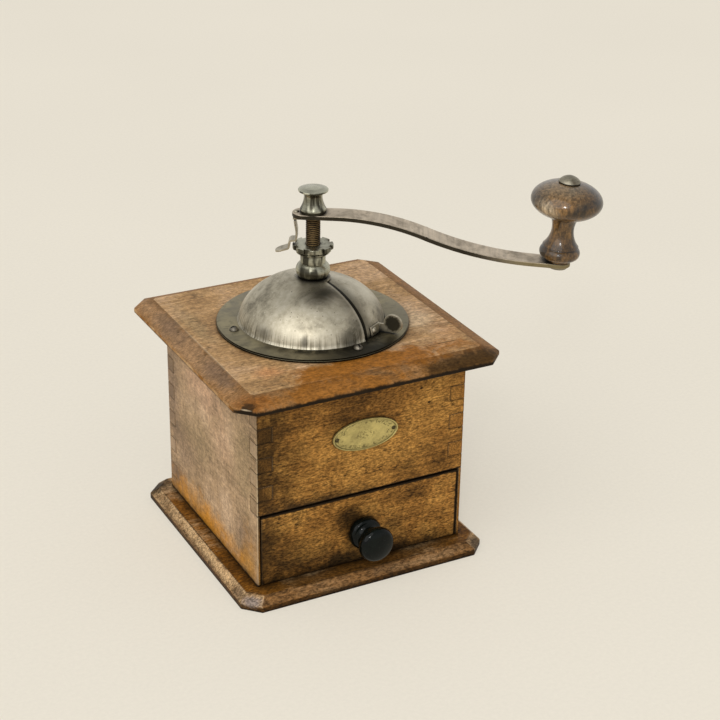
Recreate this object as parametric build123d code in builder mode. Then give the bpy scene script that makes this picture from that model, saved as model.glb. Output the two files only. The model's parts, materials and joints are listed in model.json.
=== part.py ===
"""Box coffee mill: a finger-jointed wooden case with a drawer, a domed steel hopper with a
turning shutter, a conical mill hung inside it and a crank on top. Sizes are millimetres.
The origin is the middle of the base's underside, +Z is up and the drawer faces -Y."""

import os
from math import asin, cos, degrees, radians, sin, sqrt, tan

from build123d import *

os.makedirs("parts", exist_ok=True)

# Clearances
run_fit = 0.05
hole_fit = 0.1
seat_gap = 0.02
part_gap = 0.3

# Wooden case
body_w = 125.0
body_d = 123.0
body_h = 112.6
wall = 9.0
front_fingers = 8
back_fingers = 13
base_w = 149.2
base_h = 7.8
base_edge = 3.5
base_bevel = 4.4
base_clip = 8.8
base_flat_clip = 8.0
top_w = 157.6
top_h = 7.1
top_edge = 2.85
top_bevel = 11.1
top_clip = 9.9
top_flat_clip = 1.6
glue_block = 14.0
glue_block_h = 40.0
base_screw_inset = 20.0
base_screw_l = 26.0
base_screw_r = 2.0
base_screw_head_r = 3.8

# Oval plate on the front
oval_x = 0.9
oval_z = 87.0
oval_w = 39.0
oval_h = 18.0
oval_t = 0.9
oval_rim_w = 0.8
oval_rim_h = 0.6
oval_nail_span = 34.0
oval_nail_r = 0.8
oval_nail_head_r = 1.2
oval_nail_l = 6.0

# Drawer
bay_h = 43.5
bay_lip = 1.6
drawer_side_gap = 0.7
drawer_top_gap = 1.1
drawer_board = 6.0
drawer_floor_t = 4.0
drawer_rim_drop = 7.0
drawer_back_gap = 0.8
drawer_ease = 0.6
pull_x = 0.9
pull_z = 26.5
pull_foot_r = 8.0
pull_foot_h = 5.0
pull_neck_r = 5.0
pull_neck_h = 8.6
pull_disc_r = 10.2
pull_disc_h = 15.4
pull_l = 20.5
pull_crown = 1.6
pull_foot_ease = 0.9
pull_disc_ease = 2.0
pull_disc_under = 3.0
pull_screw_head_h = 2.0
pull_screw_r = 2.0
pull_screw_head_r = 4.0
pull_screw_bite = 9.0

# Hopper bowl and dome
sheet = 1.0
bowl_r = 39.5
flange_w = 13.5
flange_r = bowl_r + flange_w
bowl_depth = 33.5
bowl_straight = 16.0
bowl_floor_r = 27.0
bowl_throat_r = 16.5
dome_over_bowl = 1.5
dome_r = bowl_r + dome_over_bowl
dome_rise = 27.0
dome_flat_drop = 0.5
mouth_start = -73.0
mouth_sweep = 122.0
mouth_inner_r = 9.6
shutter_t = 0.8
shutter_gap = 0.45
shutter_overlap = 5.0
shutter_ring_r = 12.5
flange_screw_out = 6.0
flange_screw_ring_r = bowl_r + flange_screw_out
flange_screw_angles = (174.0, -84.0, 60.0)
flange_screw_r = 1.6
flange_screw_head_r = 2.6
flange_screw_head_h = 2.2
flange_screw_l = 8.5
tab_angle = -50.0
tab_strip_sweep = 14.0
tab_strip_h = 5.0
tab_t = 1.4
tab_ear_r = 5.3
tab_ear_out = 8.0
tab_ear_reach = bowl_r + tab_ear_out
tab_ear_rise = 5.8
tab_neck_h = 4.6
tab_rivet_r = 1.0
tab_rivet_head_r = 1.9
tab_rivet_head_h = 1.0

# Bearing collar on the dome
collar_h = 13.7
collar_foot_r = 7.5
collar_bulge_r = 9.4
collar_bulge_z = 3.6
collar_neck_r = 6.9
collar_neck_z = 8.4
collar_spigot_r = 6.5
collar_spigot_l = 4.0
clip_t = 0.9
clip_r = 9.5

# Mill
burr_h = 22.0
burr_r = 24.0
burr_flange_r = 27.0
burr_flange_h = 4.0
burr_bore_top_r = 16.6
burr_bore_low_r = 17.9
burr_grooves = 16
burr_groove_w = 2.2
burr_groove_depth = 1.2
burr_screw_ring_r = 21.4
burr_screw_count = 3
burr_screw_r = 1.6
burr_screw_head_r = 2.7
burr_screw_head_h = 1.6
burr_screw_l = 9.0
cone_h = 20.0
cone_top_r = 8.0
cone_low_r = 17.0
cone_rise = 2.0
cone_land = 1.6
cone_flutes = 10
cone_flute_w = 2.4
cone_flute_depth = 1.6
cone_flute_lean = 24.0
cone_pin_r = 1.2
cone_pin_l = 26.0
cone_pin_rise = 5.0
bridge_w = 11.0
bridge_t = 3.0
bridge_boss_r = 7.0
bridge_boss_h = 5.0
bridge_screw_r = 1.5
bridge_screw_head_r = 2.6
bridge_screw_head_h = 1.6
bridge_screw_l = 9.0

# Spindle and grind adjustment
spindle_r = 4.0
spindle_tail = 3.0
thread_pitch = 1.5
thread_depth = 0.75
thread_turns = 14
stud_r = 2.8
stud_bite = 7.0
washer_r = 9.2
washer_h = 1.3
washer_flat_r = 7.4
washer_dish = 0.6
nut_r = 11.1
nut_h = 3.9
nut_under_r = 8.6
nut_rim_h = 2.5
nut_notches = 8
nut_notch_w = 3.2
nut_notch_depth = 1.7
nut_travel = 0.75

# Crank
arm_angle = -30.0
arm_gap = 15.7
arm_t = 2.5
arm_tail = 11.3
arm_tail_w = 13.0
arm_mid_w = 15.5
arm_mid_reach = 62.0
arm_end_w = 13.0
arm_flat = 12.0
arm_bend_down_r = 128.0
arm_bend_up_r = 190.0
arm_slope = 22.0
arm_end_slope = 4.0
pin_reach = 132.5
eye_washer_r = 7.0
eye_washer_h = 1.4
cap_h = 12.7
cap_foot_r = 7.1
cap_foot_h = 0.8
cap_flare_r = 5.65
cap_flare_z = 3.9
cap_neck_r = 5.0
cap_neck_z = 7.4
cap_saucer_r = 5.9
cap_saucer_z = 9.7
cap_rim_r = 8.15
cap_rim_z = 10.8
cap_rim_h = 0.9

# Crank knob on its pin
pin_r = 3.0
pin_head_r = 6.0
pin_head_h = 3.3
pin_foot_r = 5.4
pin_foot_h = 1.6
knob_l = 44.6
knob_foot_r = 11.0
knob_foot_edge_r = 7.6
knob_foot_z = 6.4
knob_heel_r = 6.6
knob_heel_h = 1.7
knob_waist_z = 9.8
knob_waist_r = 9.5
knob_neck_r = 6.0
knob_neck_z = 18.2
knob_cap_r = 19.3
knob_cap_z = 34.6
knob_cap_up = 10.4
knob_cap_down = 10.0
knob_throat_r = 8.2
knob_throat_z = 26.4

# Spring latch under the arm's tail
latch_t = 1.0
latch_w = 7.0
latch_leaf_l = 6.0
latch_hang_r = 9.8
latch_tab_reach = 20.5
latch_tab_slope = 18.0
latch_bend_r = 1.7
latch_step = 4.5
latch_clear = 1.2
latch_rivet_r = 1.0
latch_rivet_head_r = 1.7
latch_rivet_head_h = 0.9

# Levels of the stack, from the table up
body_top = base_h + body_h
bay_top = base_h + bay_h
plate_top = body_top + top_h
bowl_rim = plate_top + sheet
bowl_floor = bowl_rim - bowl_depth
burr_top = bowl_floor - sheet
burr_foot = burr_top - burr_h
dome_flat = bowl_rim + dome_rise - dome_flat_drop
collar_top = dome_flat + collar_h
washer_top = collar_top + washer_h
nut_top = washer_top + nut_h
arm_under = nut_top + arm_gap
arm_top = arm_under + arm_t
eye_washer_top = arm_top + eye_washer_h
spindle_foot = burr_foot - bridge_t - bridge_boss_h - spindle_tail
cone_top = burr_top + cone_rise
cone_foot = cone_top - cone_h

# Places shared by several pieces
front_y = -body_d / 2
side_mid_x = (body_w - wall) / 2
end_mid_y = (body_d - wall) / 2
bay_half = body_w / 2 - wall
front_h = body_top - bay_top
front_finger_h = front_h / front_fingers
back_finger_h = body_h / back_fingers
front_tongues = [bay_top + (2 * i + 0.5) * front_finger_h for i in range((front_fingers + 1) // 2)]
back_tongues = [base_h + (2 * i + 1.5) * back_finger_h for i in range(back_fingers // 2)]
base_screw_spots = [
    (x, y)
    for x in (-side_mid_x, side_mid_x)
    for y in (-end_mid_y + base_screw_inset, end_mid_y - base_screw_inset)
]
flange_screw_spots = [
    (flange_screw_ring_r * cos(radians(a)), flange_screw_ring_r * sin(radians(a)))
    for a in flange_screw_angles
]
shutter_shrink = sheet + shutter_gap
drawer_half = bay_half - drawer_side_gap
drawer_front_half = body_w / 2 - bay_lip - drawer_side_gap
drawer_foot = base_h + part_gap
drawer_head = bay_top - drawer_top_gap
drawer_rim = drawer_head - drawer_rim_drop
drawer_front_in = front_y + wall
drawer_back_out = body_d / 2 - wall - drawer_back_gap
seat_square = (spindle_r - hole_fit) * sqrt(2)
bridge_screw_r_at = (burr_r + burr_bore_low_r) / 2


def radial_plane(angle):
    """Upright plane through the mill axis; local x points outwards, local y up."""
    a = radians(angle)
    return Plane(origin=(0, 0, 0), x_dir=(cos(a), sin(a), 0), z_dir=(sin(a), -cos(a), 0))


def hand_out(builder, name):
    """Label a finished piece and write it to its own file."""
    builder.part.label = name
    export_step(builder.part, f"parts/{name}.step")


def cap_arc(edge_r, edge_z, rise):
    """Arc of a ball's cap from its edge to its top on the axis, for the line in hand."""
    ball_r = (edge_r**2 + rise**2) / (2 * rise)
    half = asin(edge_r / ball_r) / 2
    middle = (ball_r * sin(half), edge_z + rise - ball_r * (1 - cos(half)))
    return ThreePointArc((edge_r, edge_z), middle, (0, edge_z + rise))


def bevelled_plate(bottom, width, clip, edge, height, bevel, flat_clip):
    """Square board with clipped corners and a broad bevel round its upper face."""
    levels = (
        (bottom + edge, width, clip),
        (bottom + height, width - 2 * bevel, flat_clip),
    )
    with BuildPart() as board:
        with BuildSketch(Plane.XY.offset(bottom)) as outline:
            Rectangle(width, width)
            chamfer(outline.vertices(), clip)
        extrude(amount=edge)
        for level, size, corner in levels:
            with BuildSketch(Plane.XY.offset(level)) as ring:
                Rectangle(size, size)
                chamfer(ring.vertices(), corner)
        loft(ruled=True)
    return board.part


def round_screw(head_r, head_h, shank_r, shank_l, slotted=True):
    """Round-headed screw or nail standing on its head's seat, pointing down."""
    with BuildPart() as screw:
        with BuildSketch(Plane.XZ):
            with BuildLine():
                Polyline((0, head_h), (0, -shank_l), (shank_r, shank_r - shank_l), (shank_r, 0), (head_r, 0))
                cap_arc(head_r, 0, head_h)
            make_face()
        revolve(axis=Axis.Z)
        if slotted:
            with Locations((0, 0, head_h)):
                Box(2 * head_r, 0.3 * head_r, 0.8 * head_h, mode=Mode.SUBTRACT)
    return screw.part


def flat_screw(head_r, shank_r, shank_l):
    """Countersunk screw with its flat head's face at the origin, pointing down."""
    with BuildPart() as screw:
        with BuildSketch(Plane.XZ):
            with BuildLine():
                Polyline(
                    (0, 0),
                    (head_r, 0),
                    (shank_r, shank_r - head_r),
                    (shank_r, shank_r - shank_l),
                    (0, -shank_l),
                    close=True,
                )
            make_face()
        revolve(axis=Axis.Z)
        Box(2 * head_r, 0.25 * head_r, 0.5 * head_r, mode=Mode.SUBTRACT)
    return screw.part


def dome_slice(shrink, mode=Mode.ADD):
    """Quarter slice of the dome's ellipse, drawn in by shrink, for the sketch in hand."""
    with BuildLine() as outline:
        crown = EllipticalCenterArc((0, bowl_rim), dome_r - shrink, dome_rise - shrink)
        Polyline(crown @ 1, (0, bowl_rim), crown @ 0)
    make_face(outline.edges(), mode=mode)


# Base and top boards
with BuildPart() as base_plate:
    add(bevelled_plate(0, base_w, base_clip, base_edge, base_h, base_bevel, base_flat_clip))
    with Locations(*[Location((x, y, 0), (180, 0, 0)) for x, y in base_screw_spots]):
        CounterSinkHole(base_screw_r + hole_fit, base_screw_head_r + hole_fit, base_h)
hand_out(base_plate, "base_plate")

with BuildPart() as top_plate:
    add(bevelled_plate(body_top, top_w, top_clip, top_edge, top_h, top_bevel, top_flat_clip))
    with Locations((0, 0, body_top)):
        Cylinder(bowl_r + part_gap, 2 * top_h, mode=Mode.SUBTRACT)
    with Locations(*[(x, y, plate_top) for x, y in flange_screw_spots]):
        Hole(flange_screw_r + hole_fit, depth=flange_screw_l)
hand_out(top_plate, "top_plate")

# Finger-jointed case
for side, name in ((-1, "left_side"), (1, "right_side")):
    with BuildPart() as side_board:
        with Locations((side * side_mid_x, 0, base_h + body_h / 2)):
            Box(wall, body_d, body_h)
        with Locations(*[(side * side_mid_x, -end_mid_y, z) for z in front_tongues]):
            Box(wall, wall, front_finger_h, mode=Mode.SUBTRACT)
        with Locations(*[(side * side_mid_x, end_mid_y, z) for z in back_tongues]):
            Box(wall, wall, back_finger_h, mode=Mode.SUBTRACT)
        with Locations((side * (bay_half + (wall - bay_lip) / 2), front_y, base_h)):
            Box(
                wall - bay_lip,
                wall + part_gap,
                bay_h,
                align=(Align.CENTER, Align.MIN, Align.MIN),
                mode=Mode.SUBTRACT,
            )
        with Locations(*[(x, y, base_h) for x, y in base_screw_spots if x * side > 0]):
            Cylinder(base_screw_r + hole_fit, 2 * base_screw_l, mode=Mode.SUBTRACT)
    hand_out(side_board, name)

with BuildPart() as front_panel:
    with Locations((0, -end_mid_y, bay_top + front_h / 2)):
        Box(body_w - 2 * wall, wall, front_h)
    with Locations(*[(0, -end_mid_y, z) for z in front_tongues]):
        Box(body_w, wall, front_finger_h)
    with Locations(*[(oval_x + s * oval_nail_span / 2, front_y, oval_z) for s in (-1, 1)]):
        Cylinder(oval_nail_r + hole_fit, 2 * oval_nail_l, rotation=(90, 0, 0), mode=Mode.SUBTRACT)
hand_out(front_panel, "front_panel")

with BuildPart() as back_panel:
    with Locations((0, end_mid_y, base_h + body_h / 2)):
        Box(body_w - 2 * wall, wall, body_h)
    with Locations(*[(0, end_mid_y, z) for z in back_tongues]):
        Box(body_w, wall, back_finger_h)
hand_out(back_panel, "back_panel")

with BuildPart() as glue_blocks:
    for x_side in (-1, 1):
        for y_side in (-1, 1):
            corner = (x_side * bay_half, y_side * (body_d / 2 - wall))
            with BuildSketch(Plane.XY.offset(body_top)):
                with BuildLine():
                    Polyline(
                        corner,
                        (corner[0] - x_side * glue_block, corner[1]),
                        (corner[0], corner[1] - y_side * glue_block),
                        close=True,
                    )
                make_face()
            extrude(amount=-glue_block_h)
hand_out(glue_blocks, "glue_blocks")

base_screw = flat_screw(base_screw_head_r, base_screw_r, base_screw_l)
with BuildPart() as base_screws:
    with Locations(*[Location((x, y, 0), (180, 0, 0)) for x, y in base_screw_spots]):
        add(base_screw)
hand_out(base_screws, "base_screws")

# Oval plate and its nails
with BuildPart() as oval_plate:
    with BuildSketch(Plane.XZ.offset(-front_y)):
        with Locations((oval_x, oval_z)):
            Ellipse(oval_w / 2, oval_h / 2)
    extrude(amount=oval_t)
    with BuildSketch(Plane.XZ.offset(-front_y + oval_t)):
        with Locations((oval_x, oval_z)):
            Ellipse(oval_w / 2, oval_h / 2)
            Ellipse(oval_w / 2 - oval_rim_w, oval_h / 2 - oval_rim_w, mode=Mode.SUBTRACT)
    extrude(amount=oval_rim_h)
    with Locations(*[(oval_x + s * oval_nail_span / 2, front_y, oval_z) for s in (-1, 1)]):
        Cylinder(oval_nail_r + hole_fit, 4 * oval_t, rotation=(90, 0, 0), mode=Mode.SUBTRACT)
hand_out(oval_plate, "oval_plate")

oval_nail = round_screw(oval_nail_head_r, oval_rim_h, oval_nail_r, oval_nail_l, slotted=False)
with BuildPart() as oval_nails:
    for s in (-1, 1):
        spot = (oval_x + s * oval_nail_span / 2, front_y - oval_t, oval_z)
        with Locations(Location(spot, (90, 0, 0))):
            add(oval_nail)
hand_out(oval_nails, "oval_nails")

# Drawer
drawer_back_in = drawer_back_out - drawer_board
drawer_run = drawer_back_in - drawer_front_in
with BuildPart() as drawer_front:
    with Locations((0, front_y, drawer_foot)):
        Box(
            2 * drawer_front_half,
            wall,
            drawer_head - drawer_foot,
            align=(Align.CENTER, Align.MIN, Align.MIN),
        )
    chamfer(drawer_front.faces().sort_by(Axis.Y)[0].edges(), drawer_ease)
    with Locations((pull_x, front_y, pull_z)):
        Cylinder(pull_screw_r + hole_fit, 4 * wall, rotation=(90, 0, 0), mode=Mode.SUBTRACT)
hand_out(drawer_front, "drawer_front")

for side, name in ((-1, "drawer_left_side"), (1, "drawer_right_side")):
    with BuildPart() as drawer_side:
        with Locations((side * (drawer_half - drawer_board / 2), drawer_front_in, drawer_foot)):
            Box(
                drawer_board,
                drawer_back_out - drawer_front_in,
                drawer_rim - drawer_foot,
                align=(Align.CENTER, Align.MIN, Align.MIN),
            )
    hand_out(drawer_side, name)

with BuildPart() as drawer_back:
    with Locations((0, drawer_back_in, drawer_foot)):
        Box(
            2 * (drawer_half - drawer_board),
            drawer_board,
            drawer_rim - drawer_foot,
            align=(Align.CENTER, Align.MIN, Align.MIN),
        )
hand_out(drawer_back, "drawer_back")

with BuildPart() as drawer_floor:
    with Locations((0, drawer_front_in, drawer_foot)):
        Box(
            2 * (drawer_half - drawer_board),
            drawer_run,
            drawer_floor_t,
            align=(Align.CENTER, Align.MIN, Align.MIN),
        )
hand_out(drawer_floor, "drawer_floor")

pull_seat = Plane(origin=(pull_x, front_y, pull_z), x_dir=(1, 0, 0), z_dir=(0, 0, -1))
pull_axis = Axis((pull_x, front_y, pull_z), (0, -1, 0))
pull_bore = pull_screw_r + hole_fit
pull_waist_h = (pull_neck_h + pull_disc_h) / 2
pull_face_r = pull_disc_r - pull_disc_ease
with BuildPart() as drawer_pull:
    with BuildSketch(pull_seat):
        with BuildLine():
            foot = ThreePointArc(
                (pull_foot_r - pull_foot_ease, 0),
                (pull_foot_r, pull_foot_h / 2),
                (pull_foot_r - pull_foot_ease, pull_foot_h),
            )
            disc_under = (pull_disc_r - pull_disc_under, pull_waist_h)
            neck = ThreePointArc(foot @ 1, (pull_neck_r, pull_neck_h), disc_under)
            rim = ThreePointArc(neck @ 1, (pull_disc_r, pull_disc_h), (pull_face_r, pull_l - pull_crown))
            face = cap_arc(pull_face_r, pull_l - pull_crown, pull_crown)
            Polyline(face @ 1, (0, 0), foot @ 0)
        make_face()
    revolve(axis=pull_axis)
    with Locations((pull_x, front_y, pull_z)):
        Cylinder(pull_bore, 2 * (pull_screw_bite + part_gap), rotation=(90, 0, 0), mode=Mode.SUBTRACT)
hand_out(drawer_pull, "drawer_pull")

pull_screw_solid = round_screw(pull_screw_head_r, pull_screw_head_h, pull_screw_r, wall + pull_screw_bite)
with BuildPart() as drawer_pull_screw:
    with Locations(Location((pull_x, drawer_front_in, pull_z), (-90, 0, 0))):
        add(pull_screw_solid)
hand_out(drawer_pull_screw, "drawer_pull_screw")

# Hopper bowl under the dome
bowl_in = bowl_r - sheet
cone_start = bowl_rim - bowl_straight
with BuildPart() as hopper_bowl:
    with BuildSketch(Plane.XZ):
        with BuildLine():
            Polyline(
                (flange_r, bowl_rim),
                (bowl_in, bowl_rim),
                (bowl_in, cone_start),
                (bowl_floor_r - sheet, bowl_floor),
                (bowl_throat_r, bowl_floor),
                (bowl_throat_r, burr_top),
                (bowl_floor_r, burr_top),
                (bowl_r, cone_start),
                (bowl_r, plate_top),
                (flange_r, plate_top),
                close=True,
            )
        make_face()
    revolve(axis=Axis.Z)
    with PolarLocations(burr_screw_ring_r, burr_screw_count):
        with Locations((0, 0, bowl_floor)):
            Cylinder(burr_screw_r + hole_fit, 4 * sheet, mode=Mode.SUBTRACT)
    with Locations(*[(x, y, bowl_rim) for x, y in flange_screw_spots]):
        Hole(flange_screw_r + hole_fit, depth=2 * sheet)
hand_out(hopper_bowl, "hopper_bowl")

# Dome with its mouth, and the flange screws
dome_seat = bowl_rim + sheet
with BuildPart() as dome:
    with BuildSketch(Plane.XZ):
        dome_slice(0)
        with Locations((0, bowl_rim)):
            Rectangle(flange_r, sheet, align=Align.MIN)
        dome_slice(sheet, Mode.SUBTRACT)
        with Locations((0, dome_flat)):
            Rectangle(dome_r, dome_rise, align=Align.MIN, mode=Mode.SUBTRACT)
        with Locations((0, bowl_rim)):
            Rectangle(collar_spigot_r + hole_fit, dome_rise, align=Align.MIN, mode=Mode.SUBTRACT)
    revolve(axis=Axis.Z)
    with BuildSketch(radial_plane(mouth_start)):
        with Locations((mouth_inner_r, dome_seat)):
            Rectangle(dome_r, dome_rise, align=Align.MIN)
    revolve(axis=Axis.Z, revolution_arc=mouth_sweep, mode=Mode.SUBTRACT)
    with Locations(*[(x, y, dome_seat) for x, y in flange_screw_spots]):
        Hole(flange_screw_r + hole_fit, depth=2 * sheet)
hand_out(dome, "dome")

flange_screw = round_screw(flange_screw_head_r, flange_screw_head_h, flange_screw_r, flange_screw_l)
with BuildPart() as flange_screws:
    for (x, y), turn in zip(flange_screw_spots, flange_screw_angles):
        with Locations(Location((x, y, dome_seat), (0, 0, turn))):
            add(flange_screw)
hand_out(flange_screws, "flange_screws")

# Shutter that turns inside the dome, with its ear and rivet
shutter_start = mouth_start - shutter_overlap
shutter_sweep = mouth_sweep + 2 * shutter_overlap
shutter_foot = bowl_rim + part_gap
ring_bore = collar_spigot_r + part_gap
with BuildPart() as shutter:
    with BuildSketch(radial_plane(shutter_start)):
        dome_slice(shutter_shrink)
        dome_slice(shutter_shrink + shutter_t, Mode.SUBTRACT)
        Rectangle(2 * shutter_ring_r, 4 * bowl_rim, mode=Mode.SUBTRACT)
        Rectangle(4 * dome_r, 2 * shutter_foot, mode=Mode.SUBTRACT)
    revolve(axis=Axis.Z, revolution_arc=shutter_sweep)
    with BuildSketch(Plane.XZ):
        dome_slice(shutter_shrink)
        dome_slice(shutter_shrink + shutter_t, Mode.SUBTRACT)
        with Locations((shutter_ring_r, 0)):
            Rectangle(dome_r, 2 * (bowl_rim + dome_rise), align=Align.MIN, mode=Mode.SUBTRACT)
        Rectangle(2 * ring_bore, 4 * bowl_rim, mode=Mode.SUBTRACT)
    revolve(axis=Axis.Z)
hand_out(shutter, "shutter")

tab_foot = dome_seat + part_gap
tab_strip_start = tab_angle - tab_strip_sweep
tab_shrink = shutter_shrink - seat_gap
ear_z = dome_seat + tab_ear_rise
rivet_z = tab_foot + tab_strip_h / 2
rivet_angle = tab_angle - 0.7 * tab_strip_sweep
shell_r = dome_r - tab_shrink
shell_rise = dome_rise - tab_shrink
rivet_reach = shell_r * sqrt(1 - ((rivet_z - bowl_rim) / shell_rise) ** 2)
rivet_at = radial_plane(rivet_angle).from_local_coords((rivet_reach, rivet_z, 0))
rivet_lean = degrees(asin((rivet_z - bowl_rim) / shell_rise)) * shell_r / shell_rise
rivet_out = Vector(
    cos(radians(rivet_angle)) * cos(radians(rivet_lean)),
    sin(radians(rivet_angle)) * cos(radians(rivet_lean)),
    sin(radians(rivet_lean)),
)
rivet_plane = Plane(origin=rivet_at, z_dir=rivet_out)
with BuildPart() as shutter_tab:
    with BuildSketch(radial_plane(tab_angle)):
        with Locations((tab_ear_reach, ear_z)):
            Circle(tab_ear_r)
        with Locations((shell_r / 2, tab_foot)):
            Rectangle(tab_ear_reach - shell_r / 2, tab_neck_h, align=Align.MIN)
        dome_slice(tab_shrink, Mode.SUBTRACT)
        Rectangle(4 * dome_r, 2 * tab_foot, mode=Mode.SUBTRACT)
    extrude(amount=tab_t / 2, both=True)
    with BuildSketch(radial_plane(tab_strip_start)):
        dome_slice(tab_shrink - shutter_t)
        dome_slice(tab_shrink, Mode.SUBTRACT)
        Rectangle(4 * dome_r, 2 * tab_foot, mode=Mode.SUBTRACT)
        with Locations((0, tab_foot + tab_strip_h)):
            Rectangle(dome_r, dome_rise, align=Align.MIN, mode=Mode.SUBTRACT)
    revolve(axis=Axis.Z, revolution_arc=tab_strip_sweep)
    with BuildSketch(rivet_plane):
        Circle(tab_rivet_r + hole_fit)
    extrude(amount=3 * shutter_t, both=True, mode=Mode.SUBTRACT)
hand_out(shutter_tab, "shutter_tab")

tab_rivet = round_screw(tab_rivet_head_r, tab_rivet_head_h, tab_rivet_r, 0.7 * shutter_t, slotted=False)
with BuildPart() as shutter_rivet:
    with Locations(rivet_plane.offset(shutter_t + seat_gap).location):
        add(tab_rivet)
hand_out(shutter_rivet, "shutter_rivet")

# Bearing collar through the dome, and the clip that keeps the shutter up
with BuildPart() as dome_collar:
    with BuildSketch(Plane.XZ):
        with BuildLine():
            swell = ThreePointArc(
                (collar_foot_r, dome_flat),
                (collar_bulge_r, dome_flat + collar_bulge_z),
                (collar_neck_r, dome_flat + collar_neck_z),
            )
            Polyline(
                swell @ 1,
                (collar_neck_r, collar_top),
                (spindle_r + run_fit, collar_top),
                (spindle_r + run_fit, dome_flat - collar_spigot_l),
                (collar_spigot_r, dome_flat - collar_spigot_l),
                (collar_spigot_r, dome_flat),
                swell @ 0,
            )
        make_face()
    revolve(axis=Axis.Z)
hand_out(dome_collar, "dome_collar")

with BuildPart() as shutter_clip:
    with Locations((0, 0, dome_flat - collar_spigot_l)):
        Cylinder(clip_r, clip_t, align=(Align.CENTER, Align.CENTER, Align.MIN))
        Cylinder(collar_spigot_r + seat_gap, 4 * clip_t, mode=Mode.SUBTRACT)
hand_out(shutter_clip, "shutter_clip")

# Grinding ring, its screws and the bridge below it
with BuildPart() as grinding_ring:
    with BuildSketch(Plane.XZ):
        with BuildLine():
            Polyline(
                (burr_bore_top_r, burr_top),
                (burr_flange_r, burr_top),
                (burr_flange_r, burr_top - burr_flange_h),
                (burr_r, burr_top - burr_flange_h),
                (burr_r, burr_foot),
                (burr_bore_low_r, burr_foot),
                close=True,
            )
        make_face()
    revolve(axis=Axis.Z)
    with PolarLocations(burr_bore_top_r, burr_grooves):
        with Locations((0, 0, burr_top - burr_h / 2)):
            Box(2 * burr_groove_depth, burr_groove_w, 2 * burr_h, mode=Mode.SUBTRACT)
    with PolarLocations(burr_screw_ring_r, burr_screw_count):
        with Locations((0, 0, burr_top)):
            Cylinder(burr_screw_r + hole_fit, 2 * burr_screw_l, mode=Mode.SUBTRACT)
    with GridLocations(2 * bridge_screw_r_at, 0, 2, 1):
        with Locations((0, 0, burr_foot)):
            Cylinder(bridge_screw_r + hole_fit, 2 * bridge_screw_l, mode=Mode.SUBTRACT)
hand_out(grinding_ring, "grinding_ring")

burr_screw = round_screw(burr_screw_head_r, burr_screw_head_h, burr_screw_r, burr_screw_l)
with BuildPart() as ring_screws:
    with PolarLocations(burr_screw_ring_r, burr_screw_count):
        with Locations((0, 0, bowl_floor)):
            add(burr_screw)
hand_out(ring_screws, "ring_screws")

with BuildPart() as bearing_bridge:
    with BuildSketch(Plane.XY.offset(burr_foot)):
        SlotOverall(2 * burr_r, bridge_w)
    extrude(amount=-bridge_t)
    with Locations((0, 0, burr_foot - bridge_t)):
        Cylinder(bridge_boss_r, bridge_boss_h, align=(Align.CENTER, Align.CENTER, Align.MAX))
    Cylinder(spindle_r + run_fit, 4 * burr_foot, mode=Mode.SUBTRACT)
    with GridLocations(2 * bridge_screw_r_at, 0, 2, 1):
        with Locations((0, 0, burr_foot)):
            Cylinder(bridge_screw_r + hole_fit, 4 * bridge_t, mode=Mode.SUBTRACT)
hand_out(bearing_bridge, "bearing_bridge")

bridge_screw = round_screw(bridge_screw_head_r, bridge_screw_head_h, bridge_screw_r, bridge_screw_l)
with BuildPart() as bridge_screws:
    for side in (-1, 1):
        with Locations(Location((side * bridge_screw_r_at, 0, burr_foot - bridge_t), (180, 0, 0))):
            add(bridge_screw)
hand_out(bridge_screws, "bridge_screws")

# Spindle with its thread, square seat and stud
thread_top = arm_under
thread_foot = thread_top - thread_turns * thread_pitch
thread_points = []
for turn in range(thread_turns):
    thread_points.append((spindle_r, thread_foot + turn * thread_pitch))
    thread_points.append((spindle_r - thread_depth, thread_foot + (turn + 0.5) * thread_pitch))
with BuildPart() as spindle:
    with BuildSketch(Plane.XZ):
        with BuildLine():
            Polyline(
                (0, spindle_foot),
                (spindle_r, spindle_foot),
                *thread_points,
                (spindle_r, thread_top),
                (0, thread_top),
                close=True,
            )
        make_face()
    revolve(axis=Axis.Z)
    with Locations(Location((0, 0, arm_under), (0, 0, arm_angle))):
        Box(
            seat_square,
            seat_square,
            arm_t,
            align=(Align.CENTER, Align.CENTER, Align.MIN),
        )
        Cylinder(
            stud_r,
            arm_t + eye_washer_h + stud_bite,
            align=(Align.CENTER, Align.CENTER, Align.MIN),
        )
    with Locations((0, 0, cone_foot + cone_pin_rise)):
        Cylinder(cone_pin_r + hole_fit, 4 * spindle_r, rotation=(0, 90, 0), mode=Mode.SUBTRACT)
hand_out(spindle, "spindle")

# Grinding cone pinned to the spindle
cone_slope = (cone_low_r - cone_top_r) / (cone_h - cone_land)
flute_r = (cone_low_r + cone_top_r) / 2
with BuildPart() as grinding_cone:
    with BuildSketch(Plane.XZ):
        with BuildLine():
            Polyline(
                (spindle_r + hole_fit, cone_foot),
                (cone_low_r, cone_foot),
                (cone_low_r, cone_foot + cone_land),
                (cone_top_r, cone_top),
                (spindle_r + hole_fit, cone_top),
                close=True,
            )
        make_face()
    revolve(axis=Axis.Z)
    flute_tilt = -degrees(asin(cone_slope / sqrt(1 + cone_slope**2)))
    with PolarLocations(flute_r, cone_flutes):
        with Locations(Location((0, 0, cone_foot + cone_h / 2), (cone_flute_lean, flute_tilt, 0))):
            Box(2 * cone_flute_depth, cone_flute_w, 2 * cone_h, mode=Mode.SUBTRACT)
    with Locations((0, 0, cone_foot + cone_pin_rise)):
        Cylinder(cone_pin_r + hole_fit, 4 * cone_low_r, rotation=(0, 90, 0), mode=Mode.SUBTRACT)
hand_out(grinding_cone, "grinding_cone")

with BuildPart() as cone_pin:
    with Locations((0, 0, cone_foot + cone_pin_rise)):
        Cylinder(cone_pin_r, cone_pin_l, rotation=(0, 90, 0))
hand_out(cone_pin, "cone_pin")

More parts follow.
